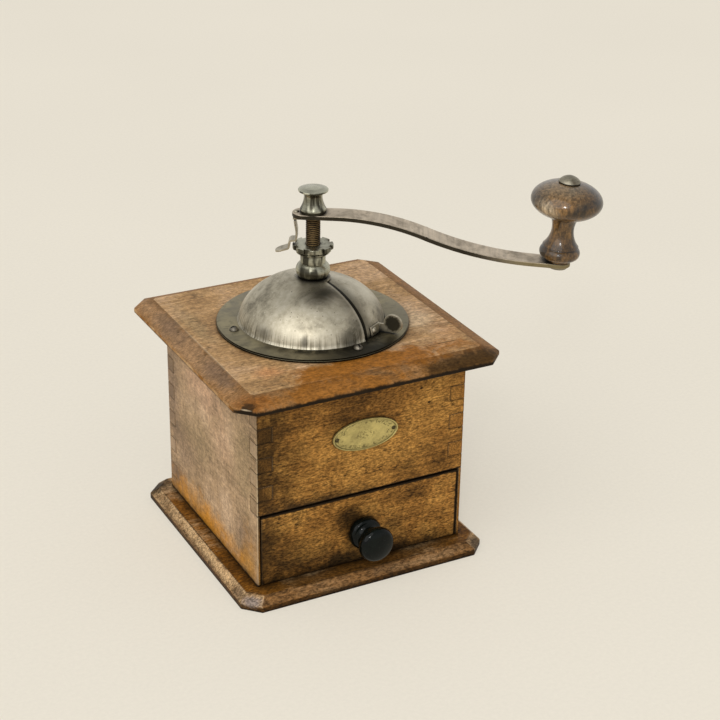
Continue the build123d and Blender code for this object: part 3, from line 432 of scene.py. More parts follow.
class Finish:
    """A finish in the making: its node tree, with a short call for each node that it uses."""

    def __init__(self, name, metal=0.0):
        self.material = bpy.data.materials.new(name)
        self.material.use_nodes = True
        self.tree = self.material.node_tree
        self.shader = self.tree.nodes["Principled BSDF"]
        self.shader.inputs["Metallic"].default_value = metal
        self.place = self.add("ShaderNodeTexCoord").outputs["Object"]

    def add(self, kind, **settings):
        node = self.tree.nodes.new(kind)
        for name, value in settings.items():
            setattr(node, name, value)
        return node

    def feed(self, socket, value):
        """Link a socket's value, or set it where the value is plain."""
        if isinstance(value, bpy.types.NodeSocket):
            self.tree.links.new(value, socket)
        elif socket.type == "RGBA" and len(value) == 3:
            socket.default_value = (*value, 1.0)
        else:
            socket.default_value = value

    def feed_all(self, node, **values):
        """Feed a node's sockets, named in lower case."""
        for name, value in values.items():
            self.feed(node.inputs[name.title()], value)

    def mapped(self, scale=(1, 1, 1), shift=(0, 0, 0), turn=(0, 0, 0)):
        node = self.add("ShaderNodeMapping")
        self.feed_all(node, vector=self.place, scale=scale, location=shift, rotation=turn)
        return node.outputs["Vector"]

    def noise(self, vector, scale, detail, rough, warp=0.0):
        node = self.add("ShaderNodeTexNoise")
        self.feed_all(node, vector=vector, scale=scale, detail=detail, roughness=rough, distortion=warp)
        return node.outputs[0]

    def specks(self, vector, scale):
        node = self.add("ShaderNodeTexVoronoi")
        self.feed_all(node, vector=vector, scale=scale)
        return node.outputs["Distance"]

    def span(self, value, low, high, to_low=0.0, to_high=1.0):
        """Carry a value smoothly from one range to another."""
        node = self.add("ShaderNodeMapRange", interpolation_type="SMOOTHSTEP")
        for index, number in enumerate((value, low, high, to_low, to_high)):
            self.feed(node.inputs[index], number)
        return node.outputs[0]

    def calc(self, operation, first, second=0.0):
        node = self.add("ShaderNodeMath", operation=operation)
        self.feed(node.inputs[0], first)
        self.feed(node.inputs[1], second)
        return node.outputs[0]

    def times(self, *values):
        total = values[0]
        for value in values[1:]:
            total = self.calc("MULTIPLY", total, value)
        return total

    def reach_of(self, first, second):
        """Length of the hypotenuse over two values."""
        return self.calc("SQRT", self.calc("ADD", self.times(first, first), self.times(second, second)))

    def mix(self, share, first, second, blend="MIX"):
        node = self.add("ShaderNodeMix", data_type="RGBA", blend_type=blend)
        for index, value in ((0, share), (6, first), (7, second)):
            self.feed(node.inputs[index], value)
        return node.outputs[2]

    def darken(self, colour, value, low, high, darkest, lightest):
        """Multiply a colour by a value carried from its range to a darkest and a lightest share."""
        return self.mix(1.0, colour, self.span(value, low, high, darkest, lightest), "MULTIPLY")

    def ramp(self, value, *stops):
        node = self.add("ShaderNodeValToRGB")
        while len(node.color_ramp.elements) < len(stops):
            node.color_ramp.elements.new(0.5)
        for element, (spot, tone) in zip(node.color_ramp.elements, stops):
            element.position = spot
            element.color = (*tone, 1.0)
        self.feed(node.inputs[0], value)
        return node.outputs[0]

    def axes(self, vector):
        node = self.add("ShaderNodeSeparateXYZ")
        self.feed(node.inputs[0], vector)
        return node.outputs

    def vector_math(self, operation, first, second=None):
        node = self.add("ShaderNodeVectorMath", operation=operation)
        self.feed(node.inputs[0], first)
        if second is not None:
            self.feed(node.inputs[1], second)
        return node.outputs

    def facing(self):
        """How far the face looks along X, Y and Z, each from 0 to 1."""
        look = self.add("ShaderNodeNewGeometry").outputs["True Normal"]
        return [self.calc("ABSOLUTE", axis) for axis in self.axes(look)]

    def near(self, spot, reach, ragged, blur, tear):
        """1 at a spot of the piece, falling to 0 at its reach (millimetres each way), with a torn edge."""
        away = self.vector_math("SUBTRACT", self.place, [s * MM for s in spot])[0]
        scaled = self.vector_math("DIVIDE", away, [r * MM for r in reach])[0]
        distance = self.vector_math("LENGTH", scaled)["Value"]
        distance = self.calc("ADD", distance, self.span(ragged, 0.25, 0.75, -tear, tear))
        return self.span(distance, 1.0 - blur, 1.0, 1.0, 0.0)

    def stained(self, colour, marks, ragged, tear=0.3, within=()):
        """Lay marks over a colour: each has a spot, its reach, a tone, how far it covers and its blur."""
        for spot, reach, tone, cover, blur in marks:
            share = self.times(self.near(spot, reach, ragged, blur, tear), cover, *within)
            colour = self.mix(share, colour, tuple(tone))
        return colour

    def rims(self, width, low=0.02, high=0.25):
        """1 along the sharp edges of the piece."""
        soft = self.add("ShaderNodeBevel", samples=6)
        self.feed_all(soft, radius=width)
        flat = self.add("ShaderNodeNewGeometry").outputs["True Normal"]
        same = self.vector_math("DOT_PRODUCT", soft.outputs[0], flat)["Value"]
        return self.span(self.calc("SUBTRACT", 1.0, same), low, high)

    def crannies(self, reach):
        """1 in corners that another surface closes in on, 0 in the open: the mask of the painted shade in
        corners.
        """
        node = self.add("ShaderNodeAmbientOcclusion", samples=8)
        self.feed_all(node, distance=reach)
        return self.span(node.outputs["AO"], 0.35, 0.95, 1.0, 0.0)

    def done(self, colour, rough, height=None, depth=0.0, strength=0.0):
        """Give the shader its colour, roughness and bump (depth in metres)."""
        self.feed(self.shader.inputs["Base Color"], colour)
        self.feed(self.shader.inputs["Roughness"], rough)
        if height is not None:
            node = self.add("ShaderNodeBump")
            self.feed_all(node, strength=strength, distance=depth, height=height)
            self.tree.links.new(node.outputs[0], self.shader.inputs["Normal"])
        return self.material


def beech(
    name, grain, tones, seed, mottle=0.4, flecks=0.6, smudges=0.5, streaks=1.0, scuffs=0.0,
    marks=(), lines=(), end_tones=None, end_marks=(), end_mottle=0.2,
    bevel_tone=None, cross_bevel_tone=None, bevel_marks=(), edge_tone=None,
    pale_rims=0.0, dark_rims=0.0, side_rims=1.0,
):
    """Old varnished beech: grain along one axis, fine mottling, smudges, worn arrises and painted shade in
    dirty corners.
    """
    colours = bpy.context.scene.mill_colours
    grime_and_shade, bare = tuple(colours.grime_and_shade), tuple(colours.bare)
    f = Finish(name)
    shift = (seed * 0.37, seed * 0.53, seed * 0.29)

    def along(share):
        stretch = [1.0, 1.0, 1.0]
        stretch[grain] = share
        return f.mapped(stretch, shift)

    def toned(value, three):
        return f.ramp(value, *((spot, tuple(tone)) for spot, tone in zip((0.36, 0.5, 0.64), three)))

    def mottled(colour, share):
        return f.darken(colour, mottling, 0.32, 0.68, 1.0 - share, 1.0 + 0.8 * share)

    even = f.mapped(shift=shift)
    cloud = f.noise(even, 26.0, 5.0, 0.62)
    streak = f.noise(along(0.06), 480.0, 5.0, 0.7, 0.4)
    mottling = f.noise(along(0.4), 1150.0, 3.0, 0.65, 0.1)
    fleck = f.noise(along(0.3), 820.0, 2.0, 0.5, 0.15)
    patch = f.noise(f.mapped(shift=shift[::-1]), 75.0, 6.0, 0.7, 0.5)
    spot = f.noise(even, 300.0, 4.0, 0.7)
    facing = f.facing()
    colour = toned(f.calc("ADD", f.times(cloud, 0.75), f.times(streak, 0.25)), tones)
    if bevel_tone is not None:
        tilt = f.times(f.span(facing[2], 0.2, 0.3), f.span(facing[2], 0.995, 0.985))
        colour = f.mix(f.times(tilt, f.span(patch, 0.3, 0.6, 0.95, 0.7)), colour, tuple(bevel_tone))
        if cross_bevel_tone is not None:
            cross = f.times(tilt, f.span(facing[0], 0.3, 0.5), f.span(patch, 0.62, 0.5, 0.35, 1.0))
            colour = f.mix(cross, colour, tuple(cross_bevel_tone))
        colour = f.stained(colour, bevel_marks, patch, within=(tilt,))
    if edge_tone is not None:
        upright = f.span(facing[2], 0.3, 0.15)
        colour = f.mix(f.times(upright, f.span(patch, 0.3, 0.7, 0.95, 0.7)), colour, tuple(edge_tone))
    colour = f.stained(colour, marks, patch)
    colour = f.darken(colour, streak, 0.3, 0.7, 1.0 - 0.16 * streaks, 1.0 + 0.12 * streaks)
    colour = mottled(colour, mottle)
    colour = f.darken(colour, spot, 0.3, 0.7, 0.75, 1.2)
    flecked = f.times(f.span(fleck, 0.6, 0.68), f.span(patch, 0.4, 0.62), flecks)
    colour = f.mix(flecked, colour, grime_and_shade)
    colour = f.mix(f.times(f.span(patch, 0.54, 0.76), smudges), colour, grime_and_shade)
    if scuffs:
        scratch = f.noise(f.mapped((1.0, 1.0, 0.1), shift, (0.35, 0.0, 0.0)), 760.0, 3.0, 0.6, 0.3)
        scuffed = f.times(f.span(scratch, 0.56, 0.7), f.span(patch, 0.36, 0.6), scuffs)
        colour = f.mix(scuffed, colour, grime_and_shade)
    if end_tones is not None:
        ends = f.stained(toned(cloud, end_tones), end_marks, patch)
        colour = f.mix(f.span(facing[grain], 0.75, 0.95), colour, mottled(ends, end_mottle))
    dirty = f.times(f.rims(0.0016, 0.006, 0.07), f.span(spot, 0.3, 0.5, 0.6, 1.0), dark_rims)
    if side_rims < 1.0:
        dirty = f.times(dirty, f.span(facing[0], 0.5, 0.8, 1.0, side_rims))
    colour = f.mix(dirty, colour, grime_and_shade)
    colour = f.mix(f.times(f.rims(0.0014), f.span(patch, 0.38, 0.58), pale_rims), colour, bare)
    colour = f.stained(colour, lines, spot, 0.15)
    # Painted shade: an occlusion mask darkens corners and joints, varied a little by the patches.
    corner_grime_and_shade = f.times(f.crannies(0.008), f.span(patch, 0.25, 0.7, 0.95, 0.7))
    colour = f.mix(corner_grime_and_shade, colour, dimmed(grime_and_shade, 0.5))
    f.shader.inputs["Specular IOR Level"].default_value = 0.07
    rough = f.calc("ADD", f.span(cloud, 0.3, 0.7, 0.42, 0.56), f.times(flecked, 0.15))
    grainy = f.calc("ADD", f.times(streak, 0.4), f.times(mottling, 0.5))
    height = f.calc("SUBTRACT", grainy, f.times(flecked, 0.7))
    return f.done(colour, rough, height, 0.00022, 0.3)


def bare_wood(name, grain, seed):
    """Unvarnished boards inside the case."""
    tone = tuple(bpy.context.scene.mill_colours.inner_wood)
    tones = (dimmed(tone, 0.62), tone, dimmed(tone, 1.2))
    return beech(name, grain, tones, seed, mottle=0.3, smudges=0.3)


def round_lines(f, around, up):
    """Place for noise drawn round the mill's axis: around is marks per radian, up is marks per metre."""
    x, y, z = f.axes(f.place)
    node = f.add("ShaderNodeCombineXYZ")
    f.feed(node.inputs[0], f.times(f.calc("ARCTAN2", y, x), around))
    f.feed(node.inputs[1], f.times(z, up))
    return node.outputs[0]


def dome_steel(name, seed, flange_top=None, collar_shade=0.0, seam_shadow_and_dirt=0.0, lip=0.0, marks=()):
    """Rubbed and tarnished sheet steel of the dome, with brush marks by its foot, pits, and painted shadow
    with soiling at the mouth's edge.
    """
    colours = bpy.context.scene.mill_colours
    steel, dull, tarnish_and_shade = tuple(colours.steel), tuple(colours.steel_dull), tuple(colours.steel_stain)
    black = dimmed(tarnish_and_shade, 0.12)
    f = Finish(name, 1.0)
    shift = (seed * 0.41, seed * 0.23, seed * 0.61)
    even = f.mapped(shift=shift)
    cloud = f.noise(even, 34.0, 7.0, 0.64, 0.7)
    fine = f.noise(even, 210.0, 6.0, 0.7, 0.3)
    brush = f.noise(round_lines(f, 46.0, 26.0), 1.0, 4.0, 0.6)
    scuffs = f.noise(f.mapped((0.3, 1.0, 1.0), shift, (0.3, 0.5, 0.9)), 900.0, 3.0, 0.6)
    x, y, z = f.axes(f.place)
    worn = f.calc("ADD", f.times(cloud, 0.62), f.times(fine, 0.38))
    colour = f.ramp(worn, (0.31, tarnish_and_shade), (0.48, dull), (0.68, steel))
    foot = f.span(z, 0.139, 0.131)
    colour = f.mix(f.times(foot, f.span(brush, 0.46, 0.62), 0.8), colour, steel)
    colour = f.mix(f.times(foot, f.span(brush, 0.48, 0.36), 0.85), colour, tarnish_and_shade)
    colour = f.mix(f.times(f.span(scuffs, 0.62, 0.7), 0.5), colour, steel)
    pits = f.times(f.span(f.specks(even, 420.0), 0.16, 0.08), f.span(fine, 0.46, 0.6))
    colour = f.mix(f.times(pits, 0.85), colour, black)
    if collar_shade:
        colour = f.stained(colour, [((0, -4, 156), (20, 22, 9), tarnish_and_shade, collar_shade, 0.7)], cloud)
    if flange_top is not None:
        edge = f.span(z, flange_top * MM + 0.0004, flange_top * MM + 0.0001)
        olive = f.mix(f.times(f.span(cloud, 0.4, 0.62), 0.6), tuple(colours.flange), tarnish_and_shade)
        olive = f.mix(f.times(f.span(fine, 0.5, 0.66), 0.4), olive, tarnish_and_shade)
        # Painted shade: the flange's upright rim goes black.
        olive = f.mix(f.span(f.facing()[2], 0.8, 0.5), olive, black)
        inside = f.span(f.reach_of(x, y), 0.05, 0.043)
        shade = f.times(inside, f.span(y, -0.015, -0.035), f.span(fine, 0.3, 0.6, 0.5, 0.95))
        colour = f.mix(edge, colour, f.mix(shade, olive, black))
        colour = f.mix(f.times(edge, f.rims(0.0009), 0.9), colour, black)
    colour = f.stained(colour, marks, cloud, 0.2)
    off = f.vector_math("DOT_PRODUCT", f.place, MOUTH_ACROSS)["Value"]
    # Painted shadow with some soiling along the mouth's edge on the shutter: a black line in the gap and
    # shade fading away from it.
    if seam_shadow_and_dirt:
        mouth_side_shade = f.times(f.span(off, 0.012, 0.003), f.span(cloud, 0.35, 0.6, 0.3, 0.8))
        colour = f.mix(mouth_side_shade, colour, tarnish_and_shade)
        colour = f.mix(f.times(f.span(off, 0.0039, 0.0031), seam_shadow_and_dirt), colour, black)
    # Painted highlight: a bright strip along the front of the fixed dome's cut edge.
    if lip:
        forward = f.span(y, -0.004, -0.008)
        strip = f.times(forward, f.span(off, -0.0016, -0.0008), f.span(z, 0.13, 0.1305))
        colour = f.mix(f.times(strip, lip), colour, steel)
    # Painted shade in corners, deepest at the step where the shutter meets the dome.
    colour = f.mix(f.times(f.crannies(0.0035), 0.9), colour, black)
    rough = f.calc("ADD", f.span(cloud, 0.35, 0.65, 0.54, 0.4), f.times(pits, 0.2))
    brushed = f.calc("ADD", f.times(fine, 0.35), f.times(brush, 0.25))
    return f.done(colour, rough, f.calc("SUBTRACT", brushed, f.times(pits, 0.8)), 0.00012, 0.25)


def fitting_steel(
    name, tone, seed, shine, rusty, edge_dirt=0.0, rim_wear_and_highlights=0.0, rim_width=0.0006, dark_reflection_bands=0.0,
    flank_shade_and_light=False, marks=(),
):
    """Turned, drawn or stamped steel with fine tool lines, stains, rust, and painted shade in its corners.
    """
    colours = bpy.context.scene.mill_colours
    tarnish_and_shade, rust = tuple(colours.steel_stain), tuple(colours.rust)
    black = dimmed(tarnish_and_shade, 0.12)
    f = Finish(name, 1.0)
    shift = (seed * 0.31, seed * 0.47, seed * 0.19)
    even = f.mapped(shift=shift)
    cloud = f.noise(even, 85.0, 7.0, 0.68, 0.4)
    fine = f.noise(even, 520.0, 4.0, 0.65)
    tool_line = f.noise(f.mapped((0.02, 0.02, 1.0), shift), 2600.0, 2.0, 0.5)
    colour = f.ramp(cloud, (0.36, dimmed(tone, 0.62)), (0.5, dimmed(tone, 0.9)), (0.62, tuple(tone)))
    colour = f.darken(colour, tool_line, 0.3, 0.7, 0.86, 1.1)
    colour = f.mix(f.times(f.span(fine, 0.58, 0.74), 0.5), colour, tarnish_and_shade)
    colour = f.mix(f.times(f.span(cloud, 0.46, 0.34), rusty), colour, rust)
    # Painted reflections: dark bands round the upright faces of turned steel.
    if dark_reflection_bands:
        sweep = f.noise(round_lines(f, 1.7, 60.0), 1.0, 2.0, 0.5)
        upright = f.span(f.facing()[2], 0.85, 0.5)
        colour = f.mix(f.times(f.span(sweep, 0.56, 0.42), upright, dark_reflection_bands), colour, dimmed(tarnish_and_shade, 0.25))
    # Painted shade on the bar's side faces, and painted light on them near the knob end.
    if flank_shade_and_light:
        flank = f.span(f.facing()[2], 0.75, 0.55)
        along = f.axes(f.place)[0]
        colour = f.mix(f.times(flank, f.span(along, 0.07, 0.1), 0.8), colour, paint(142, 128, 88))
        dark = f.times(flank, f.span(along, 0.07, 0.1, 0.95, 0.25))
        colour = f.mix(dark, colour, paint(36, 33, 24))
    colour = f.stained(colour, marks, fine, 0.1)
    rim = f.rims(rim_width)
    colour = f.mix(f.times(rim, edge_dirt), colour, black)
    # Lighter edges: partly rubbed steel, partly painted highlights.
    colour = f.mix(f.times(rim, rim_wear_and_highlights), colour, tuple(colours.steel))
    # Painted shade in corners and notches.
    colour = f.mix(f.times(f.crannies(0.003), 0.9), colour, black)
    polish = f.span(cloud, 0.35, 0.65, shine + 0.16, shine)
    rough = f.calc("ADD", polish, f.times(f.span(fine, 0.5, 0.7), 0.12))
    height = f.calc("ADD", f.times(fine, 0.5), f.times(tool_line, 0.5))
    return f.done(colour, rough, height, 0.0001, 0.22)


def thread_steel(name):
    """Dark rusty thread of the spindle, rubbed bright along its crests."""
    rust, golden = tuple(bpy.context.scene.mill_colours.rust), paint(128, 106, 68)
    f = Finish(name, 0.75)
    cloud = f.noise(f.mapped(), 240.0, 6.0, 0.7)
    x, y, _ = f.axes(f.place)
    crest = f.span(f.reach_of(x, y), 0.0038, 0.004)
    colour = f.ramp(cloud, (0.36, dimmed(rust, 0.15)), (0.68, dimmed(rust, 0.6)))
    colour = f.mix(f.times(crest, f.span(cloud, 0.34, 0.56, 0.3, 0.95)), colour, golden)
    return f.done(colour, f.span(cloud, 0.3, 0.7, 0.6, 0.4), cloud, 0.0001, 0.4)


def dull_brass(name, node):
    """Aged brass of the oval plate: cloudy, with a worn border line, a dark rim and rubbed relief."""
    colours = bpy.context.scene.mill_colours
    brass, dark = tuple(colours.brass), tuple(colours.brass_dark)
    light = dimmed(brass, 1.25)
    f = Finish(name, 0.55)
    cloud = f.noise(f.mapped(), 120.0, 7.0, 0.7, 0.5)
    fine = f.noise(f.mapped((0.4, 1, 1), turn=(0, 0.5, 0)), 1300.0, 4.0, 0.65)
    relief = f.noise(f.mapped(), 620.0, 3.0, 0.7, 0.6)
    place = f.axes(f.place)

    def from_middle(axis):
        middle = middle_of(node, axis)
        half = end_of(node, 1, axis) - middle
        return f.times(f.calc("SUBTRACT", place[axis], middle * MM), 1.0 / (half * MM))

    oval = f.reach_of(from_middle(0), from_middle(2))
    colour = f.ramp(cloud, (0.34, dimmed(brass, 0.62)), (0.5, brass), (0.66, light))
    border = f.times(f.span(oval, 0.66, 0.7), f.span(oval, 0.9, 0.86))
    worked = f.calc("MAXIMUM", border, f.times(f.span(oval, 0.42, 0.2), 0.9))
    cut = f.times(worked, f.span(relief, 0.5, 0.58))
    line = f.times(f.span(oval, 0.91, 0.93), f.span(oval, 0.955, 0.94))
    colour = f.mix(f.times(cut, 0.75), colour, dark)
    colour = f.mix(f.times(line, 0.7), colour, dark)
    colour = f.mix(f.times(f.span(fine, 0.58, 0.7), 0.4), colour, dark)
    colour = f.mix(f.times(f.rims(0.0005), 0.4), colour, light)
    # Painted shade in corners, by the board and the nails.
    colour = f.mix(f.times(f.crannies(0.0022), 0.9), colour, dimmed(dark, 0.2))
    height = f.calc("SUBTRACT", f.times(fine, 0.3), f.calc("ADD", cut, line))
    return f.done(colour, f.span(cloud, 0.3, 0.7, 0.55, 0.4), height, 0.00012, 0.5)


def black_lacquer(name):
    """Glossy black lacquer of the drawer's pull, with faint brush waves, dust and a rubbed rim."""
    colours = bpy.context.scene.mill_colours
    black, dusty = tuple(colours.lacquer), (0.05, 0.05, 0.045)
    f = Finish(name)
    cloud = f.noise(f.mapped(), 160.0, 5.0, 0.65)
    dust = f.noise(f.mapped(), 1700.0, 2.0, 0.5)
    colour = f.ramp(cloud, (0.35, dimmed(black, 0.6)), (0.65, dimmed(black, 1.7)))
    colour = f.mix(f.times(f.span(dust, 0.66, 0.74), 0.3), colour, dusty)
    rubbed = f.times(f.rims(0.0008), f.span(cloud, 0.5, 0.65), 0.3)
    colour = f.mix(rubbed, colour, tuple(colours.walnut_dark))
    f.shader.inputs["Specular IOR Level"].default_value = 0.15
    return f.done(colour, f.span(cloud, 0.3, 0.7, 0.03, 0.07), cloud, 0.0002, 0.06)


def walnut_knob(name, spot, up):
    """Dark varnished wood of the crank's knob, rubbed to amber in places and dusty on top."""
    colours = bpy.context.scene.mill_colours
    dark, amber = tuple(colours.walnut_dark), tuple(colours.walnut_amber)
    dusty, sheen = paint(128, 112, 88), paint(190, 172, 144)
    crown, belly, heel = (Vector(spot) + rise * Vector(up) for rise in (45.0, 30.0, 4.0))
    f = Finish(name)
    cloud = f.noise(f.mapped(), 44.0, 6.0, 0.65, 0.6)
    streak = f.noise(f.mapped((1, 1, 0.14)), 620.0, 5.0, 0.7, 0.3)
    fine = f.noise(f.mapped(), 1100.0, 3.0, 0.6)
    colour = f.stained(f.mix(f.span(cloud, 0.4, 0.62), dark, amber), (
        (crown + Vector((-8, -4, -2)), (17, 20, 10), dusty, 0.6, 0.8),
        (belly + Vector((-6, -17, -2)), (15, 8, 5), amber, 0.75, 0.8),
        # Painted shade: darker over the knob's right side.
        (belly + Vector((14, -9, 5)), (15, 17, 11), dark, 0.85, 0.8),
        (heel, (14, 14, 4), dark, 0.4, 0.8),
        (belly + Vector((-15, -7, 4)), (9, 10, 7), sheen, 0.8, 0.9),
        # Painted shade: darker on the right of the neck.
        (heel + Vector((5, -5, 8)), (5, 6, 15), dark, 0.9, 0.6),
    ), cloud)
    colour = f.darken(colour, streak, 0.3, 0.7, 0.4, 1.45)
    colour = f.darken(colour, fine, 0.3, 0.7, 0.7, 1.25)
    # Painted shade in corners and under the cap.
    colour = f.mix(f.times(f.crannies(0.006), 0.8), colour, dimmed(dark, 0.3))
    f.shader.inputs["Coat Weight"].default_value = 0.6
    f.shader.inputs["Coat Roughness"].default_value = 0.05
    f.shader.inputs["Specular IOR Level"].default_value = 0.2
    height = f.calc("ADD", f.times(streak, 0.6), f.times(fine, 0.4))
    return f.done(colour, f.span(cloud, 0.3, 0.7, 0.4, 0.26), height, 0.00012, 0.2)


def cast_iron(name):
    """Dark grainy cast iron of the grinding parts."""
    iron = tuple(bpy.context.scene.mill_colours.iron)
    f = Finish(name, 0.8)
    grain = f.noise(f.mapped(), 900.0, 4.0, 0.7)
    cloud = f.noise(f.mapped(), 70.0, 5.0, 0.6)
    colour = f.ramp(cloud, (0.35, dimmed(iron, 0.55)), (0.65, dimmed(iron, 1.4)))
    return f.done(colour, f.span(grain, 0.3, 0.7, 0.65, 0.45), grain, 0.0003, 0.5)


# Stains of the boards


def left_stains(c):
    """Marks on the case's left face, shared by the boards whose ends show there."""
    return (
        ((LEFT, 8, 96), (8, 40, 20), PINK, 0.6, 0.9),
        ((LEFT, -16, 72), (8, 22, 18), PINK, 0.3, 0.9),
        ((LEFT, 14, 60), (8, 40, 22), OLIVE, 0.4, 0.9),
        ((LEFT, 56, 78), (8, 17, 44), PLUM, 0.6, 0.9),
        ((LEFT, 40, 44), (8, 24, 22), PLUM, 0.4, 0.9),
        ((LEFT, 52, 20), (8, 22, 14), PLUM, 0.65, 0.9),
        ((LEFT, -44, 30), (8, 20, 20), PLUM, 0.5, 0.9),
        ((LEFT, -44, 80), (8, 22, 48), OLIVE, 0.5, 0.9),
        ((LEFT, -50, 14), (8, 16, 30), paint(172, 122, 46), 0.7, 0.9),
        ((LEFT, 8, 8), (8, 80, 24), c.amber, 0.95, 0.9),
    )


def front_stains_and_shade(c):
    """Marks on the case's front, shared by the boards whose ends show there, with painted shade under the
    top board and over the drawer.
    """
    return (
        ((10, FRONT, 72), (44, 10, 20), c.front_light, 0.65, 0.9),
        ((-18, FRONT, 84), (24, 10, 16), c.front_light, 0.45, 0.9),
        ((46, FRONT, 92), (20, 10, 20), c.front_light, 0.4, 0.9),
        ((20, FRONT, 107), (34, 10, 13), c.front_mid, 0.85, 0.9),
        ((-62, FRONT, 80), (34, 10, 64), paint(58, 40, 16), 0.92, 0.9),
        # Painted shade with some soiling: dark band under the top board's edge.
        ((0, FRONT, 121), (90, 10, 9), SOOT_AND_SHADE, 0.85, 0.9),
        # Painted shade with some soiling: dark band along the gap over the drawer.
        ((-30, FRONT, 51), (50, 10, 9), SOOT_AND_SHADE, 0.85, 0.9),
    )


def front_arris(c):
    """Pale worn corner between the left side and the front."""
    return (LEFT, FRONT, 50), (0.7, 0.7, 80), c.bare, 0.75, 0.9


def top_finish(c):
    """Top board: rubbed flat, dark bevels, soiling and painted shade under its edge."""
    return beech(
        "beech_top", 0, (c.top_dark, c.top_mid, c.top_light), 3.1,
        end_tones=(c.base_dark, c.base_mid, c.base_light),
        mottle=0.3, flecks=0.55, smudges=0.4, streaks=0.7, pale_rims=0.25, dark_rims=0.3,
        bevel_tone=c.bevel, edge_tone=paint(58, 40, 22),
        marks=(
            ((-48, -48, TOP), (15, 10, 4), ORANGE, 0.55, 0.9),
            ((4, -60, TOP), (66, 17, 4), paint(144, 90, 26), 0.95, 0.6),
            ((60, -38, TOP), (12, 22, 4), ORANGE, 0.25, 0.9),
            ((-60, 24, TOP), (9, 40, 4), OLIVE, 0.5, 0.9),
            ((54, -22, TOP), (16, 26, 4), paint(200, 178, 146), 0.55, 0.9),
        ),
        bevel_marks=(
            ((-73, 10, 125), (9, 90, 6), paint(154, 122, 88), 0.8, 0.6),
            ((-72, 30, 125), (9, 26, 5), PLUM, 0.55, 0.9),
            ((-72, -34, 125), (9, 26, 6), PLUM, 0.55, 0.9),
            ((-16, -74, 124), (60, 9, 6), paint(142, 92, 36), 0.9, 0.6),
            ((-69, -71, 125), (14, 12, 6), paint(138, 86, 34), 0.8, 0.8),
            ((56, -75, 124), (40, 10, 6), paint(66, 46, 20), 0.95, 0.6),
        ),
        lines=(
            ((-67.7, -10, TOP), (0.9, 60, 0.9), c.bare, 0.25, 0.8),
            ((-72, -73, 124), (5, 5, 2.2), SOOT_AND_SHADE, 0.85, 0.6),
            ((50, -55, TOP), (13, 0.5, 1.5), c.grime_and_shade, 0.85, 0.6),
            ((26, -75, 123), (9, 2.2, 0.5), c.grime_and_shade, 0.9, 0.6),
            # Painted shade with some soiling under the front edge.
            ((0, -79, 121.4), (200, 3, 2.2), c.grime_and_shade, 0.95, 0.5),
            ((-75, -75, 121.6), (8, 8, 2.6), c.grime_and_shade, 0.97, 0.4),
            ((-75, -74.5, 123.2), (4.5, 4, 0.5), c.bare, 0.55, 0.7),
            # Painted shade: darker towards the board's underside all round.
            ((0, 0, 120.6), (200, 200, 1.6), c.grime_and_shade, 0.8, 0.7),
        ),
    )


def base_finish(c):
    """Base board: dark flat, rubbed cross bevels, scraped corners."""
    return beech(
        "beech_base", 0, (c.base_dark, c.base_mid, c.base_light), 7.7,
        mottle=0.58, flecks=0.75, smudges=0.5, dark_rims=0.2, pale_rims=0.2,
        bevel_tone=paint(116, 86, 54), cross_bevel_tone=c.base_light, edge_tone=paint(70, 47, 22),
        bevel_marks=(
            ((-74, 0, 3.8), (6, 80, 1.9), paint(96, 72, 46), 0.85, 0.9),
            ((-72, -58, 5), (6, 14, 4), paint(84, 64, 46), 0.7, 0.9),
            ((-72, 44, 5), (6, 22, 4), paint(104, 80, 52), 0.6, 0.9),
        ),
        marks=(
            ((-71, -71, 5.6), (7.5, 7.5, 5), paint(132, 118, 108), 0.97, 0.5),
            ((-70, 67, 6), (12, 13, 9), SOOT_AND_SHADE, 0.95, 0.6),
            ((0, -66, CASE_FOOT), (90, 7, 1.5), paint(88, 60, 26), 0.9, 0.5),
            ((36, -72.8, 5.4), (40, 3.2, 3.2), paint(158, 128, 92), 0.35, 0.8),
            ((71, -71, 5), (9, 9, 8), paint(84, 68, 50), 0.95, 0.6),
        ),
        lines=(
            ((0, 0, 0), (200, 200, 1.9), c.grime_and_shade, 0.9, 0.7),
            ((-70.2, 0, CASE_FOOT), (0.6, 70, 0.6), SOOT_AND_SHADE, 0.6, 0.7),
            ((0, -70.2, CASE_FOOT), (70, 0.6, 0.6), SOOT_AND_SHADE, 0.6, 0.7),
        ),
    )


def left_finish(c):
    """Left side: bleached and scuffed, with amber runs by its foot and cracks at the front joints."""
    crack_heights = (62, 73, 84.5, 95.5, 105)
    cracks = [((LEFT + 0.1, FRONT + 5, z), (2, 5, 0.35), SOOT_AND_SHADE, 0.8, 0.6) for z in crack_heights]
    foot_line = ((LEFT, 0, 8.0), (4, 200, 1.5), c.grime_and_shade, 0.95, 0.6)
    return beech(
        "beech_left", 1, (c.side_dark, c.side_mid, c.side_light), 1.3,
        end_tones=(c.front_dark, c.front_mid, c.front_light), end_marks=front_stains_and_shade(c), end_mottle=0.5,
        mottle=0.2, flecks=0.2, smudges=0.25, streaks=0.3, scuffs=0.5, dark_rims=0.75, side_rims=0.45,
        marks=left_stains(c), lines=(front_arris(c), *cracks, foot_line),
    )


def right_finish(c):
    """Right side: bleached, with amber runs by its foot."""
    return beech(
        "beech_right", 1, (c.side_dark, c.side_mid, c.side_light), 5.9,
        end_tones=(c.front_mid, c.front_mid, c.front_light), end_marks=front_stains_and_shade(c), end_mottle=0.5,
        mottle=0.3, flecks=0.3, smudges=0.3, streaks=0.5, dark_rims=0.4,
        marks=(
            ((RIGHT, 0, 90), (8, 50, 26), OLIVE, 0.5, 0.9),
            ((RIGHT, 0, 8), (8, 80, 14), c.amber, 0.8, 0.9),
        ),
    )


def worn_ends(c):
    """Tones of the joint fingers that show on the left face."""
    return [dimmed(tone, 0.74) for tone in (c.side_dark, c.side_mid, c.side_light)]


